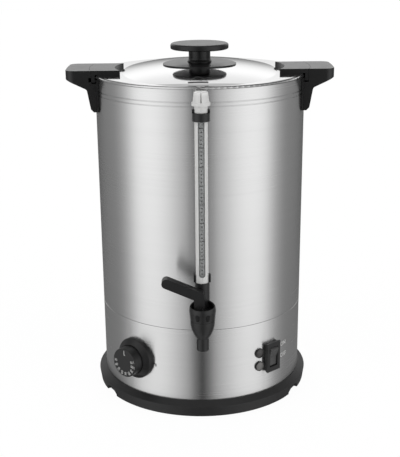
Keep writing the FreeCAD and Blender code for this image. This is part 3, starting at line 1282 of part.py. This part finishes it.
def make_tap_body():
    tap = new_body("tap_body")
    centre = d.tap_radius - d.hood_curve
    rise = d.hood_top - d.tap_widest
    inner_curve = d.hood_curve - d.hood_wall
    turn(tap, [
        at(0, d.neck_bottom),
        at(d.neck_radius, d.neck_bottom),
        at(d.neck_radius, d.tap_seam),
        at(d.tap_seam_radius, d.tap_seam),
        at(d.tap_radius, d.tap_widest),
        arc(centre + root(d.hood_curve * d.hood_curve - rise * rise), d.hood_top, d.hood_curve),
        at(centre + root(inner_curve * inner_curve - rise * rise), d.hood_top),
        arc(d.tap_radius - d.hood_wall, d.tap_widest, inner_curve, left=False),
        at(d.tap_radius - d.hood_wall, d.well_floor),
        at(0, d.well_floor),
    ])
    front = -d.tap_radius - 1
    opening = [
        at(front, d.hood_front),
        at(d.hood_slope, d.hood_front, d.hood_rounding),
        at(d.tap_radius, d.hood_back),
        at(d.tap_radius, d.hood_top + 1),
        at(front, d.hood_top + 1),
    ]
    cut(tap, "YZ_Plane", [opening], front, -front)
    shank_bottom = d.shank_height - d.shank_radius
    pad(tap, "XY_Plane", [circle(0, column_offset, d.column_radius)], shank_bottom, d.column_top)
    shank_back = d.tap_distance - d.shank_end
    pad(tap, "XZ_Plane", [circle(0, d.shank_height, d.shank_radius)], -shank_back, -d.chamber_radius)
    flange_back = d.tap_distance - d.body_radius - d.gasket
    pad(tap, "XZ_Plane", [circle(0, d.shank_height, d.shank_flange)],
        -flange_back, -flange_back + d.shank_flange_thickness)
    pad(tap, "XY_Plane", [circle(0, column_offset, d.cradle_radius)], d.column_top, d.cradle_top)
    cut(tap, "XY_Plane", [circle(0, column_offset, d.shield_radius + d.slip_gap)],
        d.column_top, d.cradle_top + 1)
    reach = d.cradle_radius + 1
    open_front = box(-reach, 0, reach, column_offset - 2)
    cut(tap, "XY_Plane", [open_front], d.column_top, d.cradle_top + 1)
    seam_ring = [circle(0, 0, d.tap_seam_radius + d.fit_gap), circle(0, 0, d.neck_radius)]
    cut(tap, "XY_Plane", seam_ring, shank_bottom - 1, d.tap_seam)
    cut(tap, "XY_Plane", [circle(0, 0, d.chamber_radius)], d.neck_bottom - 1, d.chamber_top)
    cut(tap, "XY_Plane", [circle(0, 0, d.stem_radius + d.fit_gap)], d.chamber_top - 1, d.well_floor + 1)
    cut(tap, "XZ_Plane", [circle(0, d.shank_height, d.shank_bore)], -shank_back - 1, 0)
    cut(tap, "XY_Plane", [circle(0, column_offset, d.column_bore)], d.shank_height, d.seal_bottom + 1)
    cut(tap, "XY_Plane", [circle(0, column_offset, d.seal_radius)], d.seal_bottom, d.column_top + 1)
    half = d.dimple_width / 2
    for side in (-1, 1):
        x = side * d.dimple_offset
        oval = [
            arc(x + half, d.dimple_bottom + half, half),
            at(x + half, d.dimple_top - half),
            arc(x, d.dimple_top, half),
            arc(x - half, d.dimple_top - half, half),
            at(x - half, d.dimple_bottom + half),
            arc(x, d.dimple_bottom, half),
        ]
        face = root(d.tap_seam_radius * d.tap_seam_radius - d.dimple_offset * d.dimple_offset)
        cut(tap, "XZ_Plane", [oval], face - d.dimple_depth, d.tap_radius + 1)
    place(tap, y=-d.tap_distance)


def make_tap_spout():
    spout = new_body("tap_spout")
    top = d.tap_seam - d.tap_seam_gap
    socket = d.neck_radius + d.fit_gap
    turn(spout, [
        at(d.nozzle_bore, d.nozzle_bottom),
        at(d.nozzle_radius, d.nozzle_bottom, d.nozzle_rounding),
        at(d.nozzle_radius, d.spout_neck - d.nozzle_step),
        at(d.spout_neck_radius, d.spout_neck),
        arc(d.tap_seam_radius - 0.05, top, d.spout_curve),
        at(socket, top),
        at(socket, d.neck_bottom - d.fit_gap),
        at(d.seat_radius, d.neck_bottom - d.fit_gap),
        at(d.seat_radius, d.seat_height),
        at(d.nozzle_bore, d.seat_height),
    ])
    place(spout, y=-d.tap_distance)


def make_tap_valve():
    flange_top = cup_top + d.stem_flange_thickness
    eye_half = d.lever_pin_radius + d.slip_gap * 2
    eye_left = -(pin_drift + eye_half)
    head_left = eye_left - d.eye_rim
    head_right = eye_half + d.eye_rim
    head_low = d.lever_pin_height - eye_half - d.eye_rim
    head_high = d.lever_pin_height + eye_half + d.eye_rim

    stem = new_body("tap_stem")
    pad(stem, "XY_Plane", [circle(0, 0, d.stem_radius)], stem_foot, head_low + 1)
    pad(stem, "XY_Plane", [circle(0, 0, d.stem_flange)], cup_top, flange_top)
    head = [
        at(head_left, head_low, d.eye_rim),
        at(head_right, head_low, d.eye_rim),
        at(head_right, head_high, d.eye_rim),
        at(head_left, head_high, d.eye_rim),
    ]
    eye = box(eye_left, d.lever_pin_height - eye_half, eye_half, d.lever_pin_height + eye_half)
    pad(stem, "XZ_Plane", [head], -d.eye_thickness / 2, d.eye_thickness / 2)
    cut(stem, "XZ_Plane", [eye], -d.eye_thickness, d.eye_thickness)

    cup = new_body("tap_seat_cup")
    pad(cup, "XY_Plane", [circle(0, 0, d.cup_radius)], d.seat_height + d.slip_gap * 2, cup_top)
    cut(cup, "XY_Plane", [circle(0, 0, d.stem_radius)], stem_foot, cup_top + 1)

    spring = new_body("tap_spring")
    pad(spring, "XY_Plane", [circle(0, 0, d.spring_radius), circle(0, 0, d.spring_radius - d.spring_wire)],
        flange_top, d.chamber_top)
    for piece in (stem, cup, spring):
        place(piece, y=-d.tap_distance)


def make_tap_lever():
    lever = new_body("tap_lever")
    foot = d.well_floor + d.fit_gap
    rise = sine(d.arm_slope)
    run = cosine(d.arm_slope)
    top_x = d.toe_reach - d.arm_corner_inset
    tip_x = top_x - d.arm_length * run
    tip_z = d.arm_corner_height + d.arm_length * rise
    low_x = tip_x - d.arm_thickness * rise
    low_z = tip_z - d.arm_thickness * run
    arm = [
        at(top_x, d.arm_corner_height, d.arm_corner_rounding),
        at(tip_x, tip_z, d.arm_tip_rounding),
        at(low_x, low_z, d.arm_tip_rounding),
        at(-d.arm_root_reach, d.arm_root_height),
        at(d.toe_reach, d.arm_root_height - d.arm_overlap),
    ]
    pad(lever, "XZ_Plane", [arm], -d.lever_half, d.lever_half)
    post = [
        at(-d.heel_reach, foot, d.heel_rounding),
        at(d.toe_reach, foot, d.toe_rounding),
        at(d.toe_reach, d.arm_root_height),
        at(-d.arm_root_reach, d.arm_root_height + d.arm_overlap),
    ]
    pad(lever, "XZ_Plane", [post], -d.post_half, d.post_half)
    fork = d.eye_thickness / 2 + d.fit_gap
    gap = box(-d.fork_reach, foot - 1, d.toe_reach + 1, d.fork_top)
    cut(lever, "XZ_Plane", [gap], -fork, fork)
    pin_hole = circle(0, d.lever_pin_height, d.lever_pin_radius + d.slip_gap / 2)
    cut(lever, "XZ_Plane", [pin_hole], -d.lever_half - 1, d.lever_half + 1)
    pin = new_body("tap_lever_pin")
    pad(pin, "XZ_Plane", [circle(0, d.lever_pin_height, d.lever_pin_radius)], -d.post_half, d.post_half)
    for piece in (lever, pin):
        place(piece, y=-d.tap_distance)


def make_tap_fastening():
    inside = d.body_radius - d.tank_wall
    hole = circle(0, d.shank_height, d.shank_radius + d.slip_gap)
    gaskets = new_body("tap_gaskets")
    pad(gaskets, "XZ_Plane", [circle(0, d.shank_height, d.shank_flange), hole],
        inside - d.gasket, d.body_radius + d.gasket)
    wall = [circle(0, 0, d.body_radius), circle(0, 0, inside)]
    cut(gaskets, "XY_Plane", wall, d.floor_height, d.shank_height + d.shank_flange * 2)
    nut = new_body("tap_nut")
    pad(nut, "XZ_Plane", [hexagon(0, d.shank_height, d.tap_nut_flats), hole],
        inside - d.gasket - d.tap_nut_thickness, inside - d.gasket)


make_base_ring()
make_base_plate()
make_feet_and_screws()
make_tie_rod()
make_skirt()
make_tank()
make_heater()
make_thermostat()
make_dial()
make_lamps()
make_switch()
make_mains_inlet()
make_handle("right_handle", 0)
make_handle("left_handle", 180)
make_handle_screws()
make_lid_pan()
make_lug("lid_lug_right", 0)
make_lug("lid_lug_left", 180)
make_lid_fasteners()
make_knob()
make_gauge()
make_tap_body()
make_tap_spout()
make_tap_valve()
make_tap_lever()
make_tap_fastening()

document.recompute()

for item in document.Objects:
    if "Invalid" in item.State or "Error" in item.State:
        raise RuntimeError("%s (%s) failed: %s" % (item.Label, item.Name, item.getStatusString()))
for node in NODES:
    shape = node.Shape
    if shape.isNull() or not shape.isValid():
        raise RuntimeError("%s has no valid shape" % node.Label)

os.makedirs("parts", exist_ok=True)
for node in NODES:
    node.Shape.exportStep("parts/%s.step" % node.Label)
    print("%-22s %2d solids %10.1f mm3" % (node.Label, len(node.Shape.Solids), node.Shape.Volume))
print(len(NODES), "nodes")
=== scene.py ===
"""The look of a brushed steel hot water urn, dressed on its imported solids.

Metres. The origin is the centre of the base on the worktop, +Z up, the tap at the front (-Y).
An azimuth is measured about +Z from the front, positive towards +X.
"""
import json
import math

import bpy
import numpy as np
from mathutils import Matrix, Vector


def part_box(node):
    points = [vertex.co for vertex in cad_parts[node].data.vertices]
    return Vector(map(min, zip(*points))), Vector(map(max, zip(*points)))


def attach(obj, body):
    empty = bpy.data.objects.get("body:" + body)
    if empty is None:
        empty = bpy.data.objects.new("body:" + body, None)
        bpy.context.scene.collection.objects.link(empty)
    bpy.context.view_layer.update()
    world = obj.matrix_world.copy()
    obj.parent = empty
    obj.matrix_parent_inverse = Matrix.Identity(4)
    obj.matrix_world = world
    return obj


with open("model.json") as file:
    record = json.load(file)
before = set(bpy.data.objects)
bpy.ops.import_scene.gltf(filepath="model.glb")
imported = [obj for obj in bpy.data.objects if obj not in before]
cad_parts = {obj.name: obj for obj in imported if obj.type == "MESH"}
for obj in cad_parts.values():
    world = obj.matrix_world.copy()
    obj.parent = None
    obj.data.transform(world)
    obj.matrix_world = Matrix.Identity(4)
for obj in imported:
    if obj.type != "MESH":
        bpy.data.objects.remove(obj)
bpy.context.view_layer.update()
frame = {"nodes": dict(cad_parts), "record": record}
nodes = frame["nodes"]

MM = 0.001
BODY_RADIUS = 125 * MM
DIAL_AZIMUTH = math.radians(-39.7)
DIAL_HEIGHT = 63.5 * MM
DIAL_FACE = 146.8 * MM           # from the urn's axis
DOME_RADIUS = 118.3 * MM
DOME_TOP = 403.2 * MM
FLANGE_TOP = 394.1 * MM
INK_GAP = 0.02 * MM              # keeps printed layers off what carries them


# Shader maths

class Value:
    """A number on a shader socket. Arithmetic on it adds the Math nodes."""

    def __init__(self, tree, socket):
        self.tree = tree
        self.socket = socket

    def maths(self, operation, *others):
        return self.tree.node("ShaderNodeMath", {"operation": operation},
                              dict(enumerate((self,) + others)))

    def __add__(self, other):
        return self.maths("ADD", other)

    def __sub__(self, other):
        return self.maths("SUBTRACT", other)

    def __mul__(self, other):
        return self.maths("MULTIPLY", other)

    def __truediv__(self, other):
        return self.maths("DIVIDE", other)

    def __rsub__(self, other):
        return self.tree.number(other).maths("SUBTRACT", self)

    __radd__ = __add__
    __rmul__ = __mul__

    def __neg__(self):
        return self * -1

    def absolute(self):
        return self.maths("ABSOLUTE")

    def power(self, exponent):
        return self.maths("POWER", exponent)

    def between(self, low, high):
        """0 below low, 1 above high, smooth between."""
        return self.tree.node("ShaderNodeMapRange", {"interpolation_type": "SMOOTHSTEP"},
                              {"Value": self, "From Min": low, "From Max": high})

    def table(self, pairs, low, high):
        """A curve through (value, result) pairs, on the range low to high."""
        top = max(result for value, result in pairs)
        ramp = self.tree.node("ShaderNodeValToRGB", {}, {0: (self - low) / (high - low)}, wrap=False)
        elements = ramp.color_ramp.elements
        while len(elements) < len(pairs):
            elements.new(0.5)
        for element, (value, result) in zip(elements, pairs):
            element.position = (value - low) / (high - low)
        for element, (value, result) in zip(elements, pairs):
            element.color = (result / top,) * 3 + (1,)
        return Value(self.tree, ramp.outputs[0]) * top


class Tree:
    """A node tree and the one method that adds nodes to it."""

    def __init__(self, owner):
        owner.use_nodes = True
        self.nodes = owner.node_tree.nodes
        self.links = owner.node_tree.links

    def node(self, kind, settings=None, inputs=None, output=0, wrap=True):
        """A node with its settings and its sockets' values or links; gives one output."""
        made = self.nodes.new(kind)
        for name, setting in (settings or {}).items():
            setattr(made, name, setting)
        for socket, value in (inputs or {}).items():
            self.feed(made.inputs[socket], value)
        return Value(self, made.outputs[output]) if wrap else made

    def feed(self, socket, value):
        if isinstance(value, Value):
            self.links.new(value.socket, socket)
        else:
            socket.default_value = value

    def number(self, value):
        return self.node("ShaderNodeMath", {"operation": "ADD"}, {0: value, 1: 0.0})

    def object_place(self):
        return self.node("ShaderNodeTexCoord", output="Object")

    def parts(self, vector):
        split = self.node("ShaderNodeSeparateXYZ", inputs={0: vector}, wrap=False)
        return [Value(self, output) for output in split.outputs]

    def stretched(self, vector, scale):
        return self.node("ShaderNodeMapping", inputs={"Vector": vector, "Scale": scale})

    def noise(self, vector, scale, detail=2.0, roughness=0.5):
        """Noise with a mean of about a half."""
        return self.node("ShaderNodeTexNoise", inputs={
            "Vector": vector, "Scale": scale, "Detail": detail, "Roughness": roughness})

    def shades(self, factor, dark, light):
        """A colour between two, by a factor."""
        return self.node("ShaderNodeMix", {"data_type": "RGBA"},
                         {0: factor, 6: tuple(dark) + (1,), 7: tuple(light) + (1,)}, output=2)

    def bump(self, height, strength, depth):
        return self.node("ShaderNodeBump", inputs={
            "Height": height, "Strength": strength, "Distance": depth})


class Finish(Tree):
    """A material that ends in a Principled shader."""

    def __init__(self, name, **constants):
        self.material = bpy.data.materials.new(name)
        super().__init__(self.material)
        self.shader = self.nodes["Principled BSDF"]
        self.set(**constants)

    def set(self, **values):
        for name, value in values.items():
            socket = self.shader.inputs[name.replace("_", " ")]
            if isinstance(value, (tuple, list)) and len(value) == 3:
                value = tuple(value) + (1,)
            self.feed(socket, value)
        return self


# Finishes

def brushed_steel(name, light, dark, roughness):
    """Steel brushed round the urn: fine level lines, which spread what it mirrors up and down."""
    steel = Finish(name, Metallic=1.0, Anisotropic=0.9, Anisotropic_Rotation=0.25)
    place = steel.object_place()
    lines = steel.noise(steel.stretched(place, (3, 3, 1400)), 1.0, 3.0, 0.6)
    bands = steel.noise(steel.stretched(place, (1.2, 1.2, 90)), 1.0, 2.0)
    smudge = steel.noise(place, 14.0, 3.0)
    tone = (lines - 0.5) * 0.7 + (bands - 0.5) * 0.25 + 0.5
    steel.set(
        Base_Color=steel.shades(tone, dark, light),
        Roughness=(lines - 0.5) * 0.06 + (smudge - 0.5) * 0.04 + roughness,
        Normal=steel.bump(lines, 0.25, 0.0001),
    )
    return steel.material


def polished_steel(name, light, roughness):
    """Pressed and polished sheet, with the faint rings of its polishing."""
    steel = Finish(name, Metallic=1.0)
    place = steel.object_place()
    across, along = steel.parts(place)[:2]
    radius = (across * across + along * along).power(0.5)
    rings = steel.node("ShaderNodeTexNoise", {"noise_dimensions": "1D"},
                       {"W": radius * 900.0, "Scale": 1.0, "Detail": 2.0})
    smudge = steel.noise(place, 22.0, 4.0)
    dark = tuple(0.95 * channel for channel in light)
    steel.set(
        Base_Color=steel.shades(smudge, dark, light),
        Roughness=(rings - 0.5) * 0.02 + (smudge - 0.5) * 0.03 + roughness,
        Normal=steel.bump(rings, 0.02, 0.00005),
    )
    return steel.material


def moulded_plastic(name, dark, light, roughness, grain=0.12, scale=1600.0, **constants):
    """Moulded plastic: a fine spark-eroded grain, with the sheen a little uneven."""
    plastic = Finish(name, **constants)
    place = plastic.object_place()
    pores = plastic.noise(place, scale, 2.0)
    cloud = plastic.noise(place, 60.0, 3.0)
    plastic.set(
        Base_Color=plastic.shades(cloud, dark, light),
        Roughness=(cloud - 0.5) * 0.10 + (pores - 0.5) * 0.08 + roughness,
        Normal=plastic.bump(pores, grain, 0.00006),
    )
    return plastic


def black_plastic(name, level, roughness, gloss=0.35):
    """Black moulding: what it shows is mostly its sheen."""
    dark = (0.8 * level, 0.8 * level, 0.82 * level)
    light = (1.25 * level, 1.25 * level, 1.28 * level)
    return moulded_plastic(name, dark, light, roughness, Specular_IOR_Level=gloss).material


def toned_plastic(name, dark, light, roughness, low, high, **looks):
    """Moulded plastic that goes from the dark tone below one height to the light one above another."""
    plastic = moulded_plastic(name, dark, light, roughness, **looks)
    place = plastic.object_place()
    up = plastic.parts(place)[2]
    cloud = plastic.noise(place, 90.0, 3.0)
    plastic.set(Base_Color=plastic.shades(up.between(low, high) + (cloud - 0.5) * 0.12, dark, light))
    return plastic.material


def plain_metal(name, dark, light, roughness, scale=400.0):
    """Turned or cast metal of the small and inner parts."""
    metal = Finish(name, Metallic=1.0)
    place = metal.object_place()
    grain = metal.noise(place, scale, 3.0)
    metal.set(
        Base_Color=metal.shades(grain, dark, light),
        Roughness=(grain - 0.5) * 0.2 + roughness,
        Normal=metal.bump(grain, 0.1, 0.0001),
    )
    return metal.material


def clear_tube(name):
    """The gauge glass: clear, seen by its gloss."""
    tube = Finish(name, Roughness=0.05, Alpha=0.22)
    place = tube.object_place()
    film = tube.noise(tube.stretched(place, (40, 40, 9)), 1.0, 2.0)
    tube.set(
        Base_Color=tube.shades(film, (0.70, 0.72, 0.72), (0.86, 0.88, 0.88)),
        Roughness=film * 0.08 + 0.03,
    )
    return tube.material


def printed(name, color, roughness=0.5):
    """Screen-printed ink."""
    ink = Finish(name)
    grain = ink.noise(ink.object_place(), 900.0, 2.0)
    dark = tuple(0.8 * channel for channel in color)
    ink.set(Base_Color=ink.shades(grain, dark, color), Roughness=(grain - 0.5) * 0.2 + roughness)
    return ink.material


finishes = {
    "brushed_body": brushed_steel("brushed_body", (0.68, 0.68, 0.68), (0.58, 0.58, 0.58), 0.26),
    "polished_lid": polished_steel("polished_lid", (0.70, 0.70, 0.70), 0.07),
    "black_plastic": black_plastic("black_plastic", 0.010, 0.30),
    "base_plastic": black_plastic("base_plastic", 0.017, 0.42),
    "knob_plastic": black_plastic("knob_plastic", 0.014, 0.34),
    "tap_plastic": black_plastic("tap_plastic", 0.017, 0.34),
    # The shield plastic's lighter tone above 386 to 390 mm is painted light: it brightens the gauge cap at
    # the top for the light that falls on it from above.
    "shield_plastic": toned_plastic("shield_plastic", (0.78, 0.78, 0.77), (0.93, 0.93, 0.92), 0.22,
                                    386 * MM, 390 * MM, grain=0.03),
    "gauge_glass": clear_tube("gauge_glass"),
    "lamp_lens": toned_plastic("lamp_lens", (0.16, 0.155, 0.15), (0.035, 0.032, 0.032), 0.22,
                               60 * MM, 64 * MM, grain=0.4, scale=700.0),
    "rocker_plastic": moulded_plastic("rocker_plastic", (0.035, 0.035, 0.035), (0.12, 0.12, 0.12), 0.25,
                                      grain=0.3, scale=900.0).material,
    "rubber": moulded_plastic("rubber", (0.02, 0.02, 0.02), (0.035, 0.035, 0.035), 0.7, grain=0.3).material,
    "silicone": moulded_plastic("silicone", (0.55, 0.55, 0.53), (0.7, 0.7, 0.68), 0.45).material,
    "steel_screws": plain_metal("steel_screws", (0.45, 0.45, 0.45), (0.62, 0.62, 0.62), 0.3),
    "inner_steel": plain_metal("inner_steel", (0.42, 0.42, 0.41), (0.58, 0.58, 0.57), 0.38, 160.0),
    "heater_alloy": plain_metal("heater_alloy", (0.45, 0.46, 0.47), (0.62, 0.63, 0.64), 0.5),
    "brass_parts": plain_metal("brass_parts", (0.55, 0.40, 0.16), (0.75, 0.58, 0.27), 0.3),
    "inner_plastic": moulded_plastic("inner_plastic", (0.58, 0.57, 0.52), (0.70, 0.69, 0.64), 0.5).material,
}
dark_ink = printed("dark_ink", (0.02, 0.02, 0.02))
pale_ink = printed("pale_ink", (0.80, 0.80, 0.79))

slot_of = {part["node"]: part["material_slot"] for part in frame["record"]["subparts"]}
slot_of["lid_knob_plate"] = "black_plastic"
for name, node in nodes.items():
    material = finishes[slot_of[name]]
    if node.data.materials:
        node.data.materials[0] = material
    else:
        node.data.materials.append(material)


# Pieces

def new_piece(name, shape, material, body, layer=0.05 * MM):
    """A printed layer from (points, faces), set on a body, with its thickness outwards."""
    points, faces = shape
    mesh = bpy.data.meshes.new(name)
    mesh.from_pydata(points.tolist(), [], faces)
    mesh.update()
    piece = bpy.data.objects.new(name, mesh)
    bpy.context.scene.collection.objects.link(piece)
    mesh.materials.append(material)
    edge = piece.modifiers.new("edge", "SOLIDIFY")
    edge.thickness = layer
    edge.offset = 1.0
    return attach(piece, body)


def grid_faces(rows, columns):
    """The quads of a rows by columns grid of points, facing row x column."""
    first = (np.arange(rows - 1)[:, None] * columns + np.arange(columns - 1)[None, :]).ravel()
    return np.stack([first, first + columns, first + columns + 1, first + 1], axis=1)


def wrap(flat, radius, centre=(0.0, 0.0)):
    """Flat points (arc length from the front, height) laid on an upright cylinder.

    The azimuth is the arc length over the radius; x = cx + r sin(az), y = cy - r cos(az).
    """
    azimuth = flat[:, 0] / radius
    return np.stack([centre[0] + radius * np.sin(azimuth), centre[1] - radius * np.cos(azimuth),
                     flat[:, 1]], axis=1)


def patch(low_u, low_v, high_u, high_v, columns=9):
    """A rectangle as a grid of flat points, with its quads."""
    u, v = np.meshgrid(np.linspace(low_u, high_u, columns), [low_v, high_v], indexing="ij")
    return np.stack([u, v], axis=-1).reshape(-1, 2), grid_faces(columns, 2).tolist()


def flat_words(text, height, bold=0.0):
    """Lettering as flat points centred on the origin, with its faces."""
    curve = bpy.data.curves.new("words", "FONT")
    curve.body = text
    curve.size = height
    curve.offset = bold
    curve.align_x = "CENTER"
    curve.align_y = "CENTER"
    curve.resolution_u = 3
    source = bpy.data.objects.new("words", curve)
    bpy.context.scene.collection.objects.link(source)
    mesh = bpy.data.meshes.new_from_object(source)
    points = np.zeros(len(mesh.vertices) * 3)
    mesh.vertices.foreach_get("co", points)
    faces = [list(face.vertices) for face in mesh.polygons]
    bpy.data.objects.remove(source)
    return points.reshape(-1, 3)[:, :2], faces


def joined(shapes):
    """Several (points, faces) as one."""
    starts = np.cumsum([0] + [len(points) for points, faces in shapes])
    faces = [[corner + int(start) for corner in face]
             for start, (points, part_faces) in zip(starts, shapes) for face in part_faces]
    return np.concatenate([points for points, part_faces in shapes]), faces


def gauge_scale():
    """Level marks on the front of the gauge glass: a long one each litre, four short ones between."""
    litres = np.linspace(183.3, 352.4, 9) * MM
    step = litres[1] - litres[0]
    long_marks = [patch(-2.4 * MM, z - 0.42 * MM, 2.4 * MM, z + 0.42 * MM) for z in litres[1:]]
    fifths = [z + step * part / 5 for z in litres[:-1] for part in (1, 2, 3, 4)]
    short_marks = [patch(-0.85 * MM, z - 0.5 * MM, 0.85 * MM, z + 0.5 * MM) for z in fifths]
    points, faces = joined(long_marks + short_marks)
    low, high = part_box("gauge_glass")
    centre = (0.0, (low.y + high.y) / 2)
    radius = (high.x - low.x) / 2 + INK_GAP
    shape = wrap(points, radius, centre), faces
    new_piece("gauge_scale", shape, dark_ink, "urn")


def on_dial(points, reach):
    """Flat points on the dial's face, (right, up) as seen from in front of it, to their place."""
    side = np.array([math.cos(DIAL_AZIMUTH), math.sin(DIAL_AZIMUTH), 0.0])
    out = np.array([math.sin(DIAL_AZIMUTH), -math.cos(DIAL_AZIMUTH), 0.0])
    centre = out * reach + np.array([0, 0, DIAL_HEIGHT])
    return centre + points[:, :1] * side + points[:, 1:] * np.array([0, 0, 1.0])


def turned(points, angle):
    """Flat points turned anticlockwise about the origin."""
    cosine, sine = math.cos(angle), math.sin(angle)
    return points @ np.array([[cosine, sine], [-sine, cosine]])


def dial_marks():
    """The off mark at the top of the knob, and plain numbers from its left round below to its right."""
    shapes = [patch(-0.4 * MM, 9.8 * MM, 0.4 * MM, 15.8 * MM),
              patch(-0.4 * MM, 9.8 * MM, 1.6 * MM, 10.5 * MM)]
    for index, number in enumerate(range(30, 120, 10)):
        angle = math.radians(178 + 200 * index / 8)
        digits, faces = flat_words(str(number), 4.6 * MM, 0.01 * MM)
        place = 13.9 * MM * np.array([math.cos(angle), math.sin(angle)])
        shapes.append((turned(digits, angle + math.pi) + place, faces))
    points, faces = joined(shapes)
    shape = on_dial(points, DIAL_FACE + 0.01 * MM), faces
    new_piece("dial_numbers", shape, pale_ink, "thermostat_knob")


def on_skirt(points):
    """Flat points, (azimuth in degrees, height in mm), to their place on the skirt."""
    flat = np.stack([np.radians(points[:, 0]) * BODY_RADIUS, points[:, 1] * MM], axis=1)
    return wrap(flat, BODY_RADIUS + INK_GAP)


def skirt_marks():
    """The dial's hooked index mark and the switch's two words, printed on the skirt."""
    points, faces = joined([patch(-28.9, 60.6, -26.9, 61.6), patch(-26.9, 57.8, -26.3, 61.6)])
    new_piece("dial_index", (on_skirt(points), faces), dark_ink, "urn")
    per_degree = math.radians(1) * BODY_RADIUS
    shapes = []
    for text, height, azimuth in (("ON", 71.0, 52.6), ("OFF", 56.0, 52.8)):
        letters, faces = flat_words(text, 7.4 * MM, 0.06 * MM)
        shapes.append((letters / np.array([per_degree, MM]) + np.array([azimuth, height]), faces))
    points, faces = joined(shapes)
    new_piece("switch_words", (on_skirt(points), faces), pale_ink, "urn")


def lid_height(x, y):
    """The dome falls as an arc from side to side and a flatter one from front to back.

    Outside the dome is the level flange.
    """
    across = 470 * MM
    along = 967 * MM
    crest = along - across + np.sqrt(across ** 2 - x ** 2)
    dome = DOME_TOP - along + np.sqrt(crest ** 2 - y ** 2)
    return np.where(np.hypot(x, y) < DOME_RADIUS, dome, FLANGE_TOP)


def lid_index():
    """Two bars at the lid's front and a thin pointed line behind them, which show how it locks."""
    bars = [patch(-13.6 * MM, -116.6 * MM, 8.6 * MM, -110.4 * MM, 17),
            patch(-13.6 * MM, -124.0 * MM, 8.6 * MM, -118.9 * MM, 17)]
    part = np.linspace(-1, 1, 25)
    ridge = np.stack([-2.6 * MM + part * 8.6 * MM, (-90.0 - 16.6 * np.abs(part) ** 1.5) * MM], axis=1)
    line = np.stack([ridge - (0, 0.9 * MM), ridge + (0, 0.9 * MM)], axis=1).reshape(-1, 2)
    points, faces = joined(bars + [(line, grid_faces(25, 2).tolist())])
    z = lid_height(points[:, 0], points[:, 1]) + 0.03 * MM
    new_piece("lid_index", (np.column_stack([points, z]), faces), dark_ink, "lid")


gauge_scale()
dial_marks()
skirt_marks()
lid_index()


# Studio

def studio():
    """White background, and two tall soft boxes beside the camera that the steel reflects."""
    world = bpy.data.worlds.new("studio")
    bpy.context.scene.world = world
    sky = Tree(world)
    background = sky.nodes["Background"]
    x, y, z = sky.parts(sky.node("ShaderNodeTexCoord", output="Generated"))
    degrees = 180 / math.pi
    azimuth = x.maths("ARCTAN2", -y).absolute() * degrees
    elevation = z.maths("ARCSINE") * degrees
    boxes = azimuth.table([
        (0, 0.05), (1.6, 0.06), (3.2, 0.19), (7, 0.25), (11, 0.42), (16, 0.64), (21, 0.79),
        (27, 0.93), (32, 1.06), (38, 1.20), (44, 1.31), (50, 1.38), (56, 1.42), (62, 1.42),
        (69, 1.38), (76, 1.24), (83, 0.97), (90, 0.70), (99, 0.48), (108, 0.36), (119, 0.31),
        (134, 0.30), (150, 0.33), (180, 0.50)], 0, 180)
    below = elevation.table([
        (-90, 0.55), (-45, 0.62), (-27, 0.70), (-23.5, 0.75), (-19.5, 0.88), (-14, 0.97), (-9, 1.0),
        (15, 1.0), (35, 0.9), (60, 0.7), (90, 0.6)], -90, 90)
    backdrop = elevation.table([
        (-90, 0.35), (-40, 0.30), (-14, 0.13), (-4, 0.12), (0, 0.34), (2, 0.46), (4, 0.64), (6, 0.84),
        (8, 1.04), (10, 1.18), (12.5, 1.28), (15, 1.24), (18, 1.10), (24, 0.98), (35, 0.85), (60, 0.7),
        (90, 0.6)], -90, 90)
    behind = azimuth.between(115, 160)
    light = boxes * below * (1.0 - behind) + backdrop * behind
    seen = sky.node("ShaderNodeLightPath", output="Is Camera Ray")
    level = light * (1.0 - seen) + seen
    sky.feed(background.inputs["Strength"], level)
    background.inputs["Color"].default_value = (1, 1, 1, 1)

    size = 6.0
    mesh = bpy.data.meshes.new("floor")
    mesh.from_pydata([(-size, -size, 0), (size, -size, 0), (size, size, 0), (-size, size, 0)], [],
                     [(0, 1, 2, 3)])
    floor = bpy.data.objects.new("floor", mesh)
    bpy.context.scene.collection.objects.link(floor)
    floor.visible_glossy = False
    pale = Finish("floor", Base_Color=(0.9, 0.9, 0.9), Roughness=0.9)
    white = pale.node("ShaderNodeEmission", inputs={"Color": (1, 1, 1, 1), "Strength": 1.03})
    seen = pale.node("ShaderNodeLightPath", output="Is Camera Ray")
    mixed = pale.node("ShaderNodeMixShader", inputs={
        0: seen * 0.93, 1: Value(pale, pale.shader.outputs[0]), 2: white})
    pale.feed(pale.nodes["Material Output"].inputs["Surface"], mixed)
    mesh.materials.append(pale.material)


def camera():
    """The photograph's viewpoint."""
    lens = bpy.data.cameras.new("camera")
    lens.lens = 76.13
    lens.sensor_width = 36.0
    lens.shift_x = 0.0124
    lens.shift_y = 0.0688
    viewer = bpy.data.objects.new("camera", lens)
    place = Matrix.Translation((-8.67 * MM, -1167.4 * MM, 553.2 * MM))
    tilt = Matrix.Rotation(math.radians(90 - 18.87), 4, "X")
    roll = Matrix.Rotation(math.radians(-0.59), 4, "Z")
    viewer.matrix_world = place @ tilt @ roll
    bpy.context.scene.collection.objects.link(viewer)
    bpy.context.scene.camera = viewer


studio()
camera()
bpy.context.scene.view_settings.view_transform = "Standard"
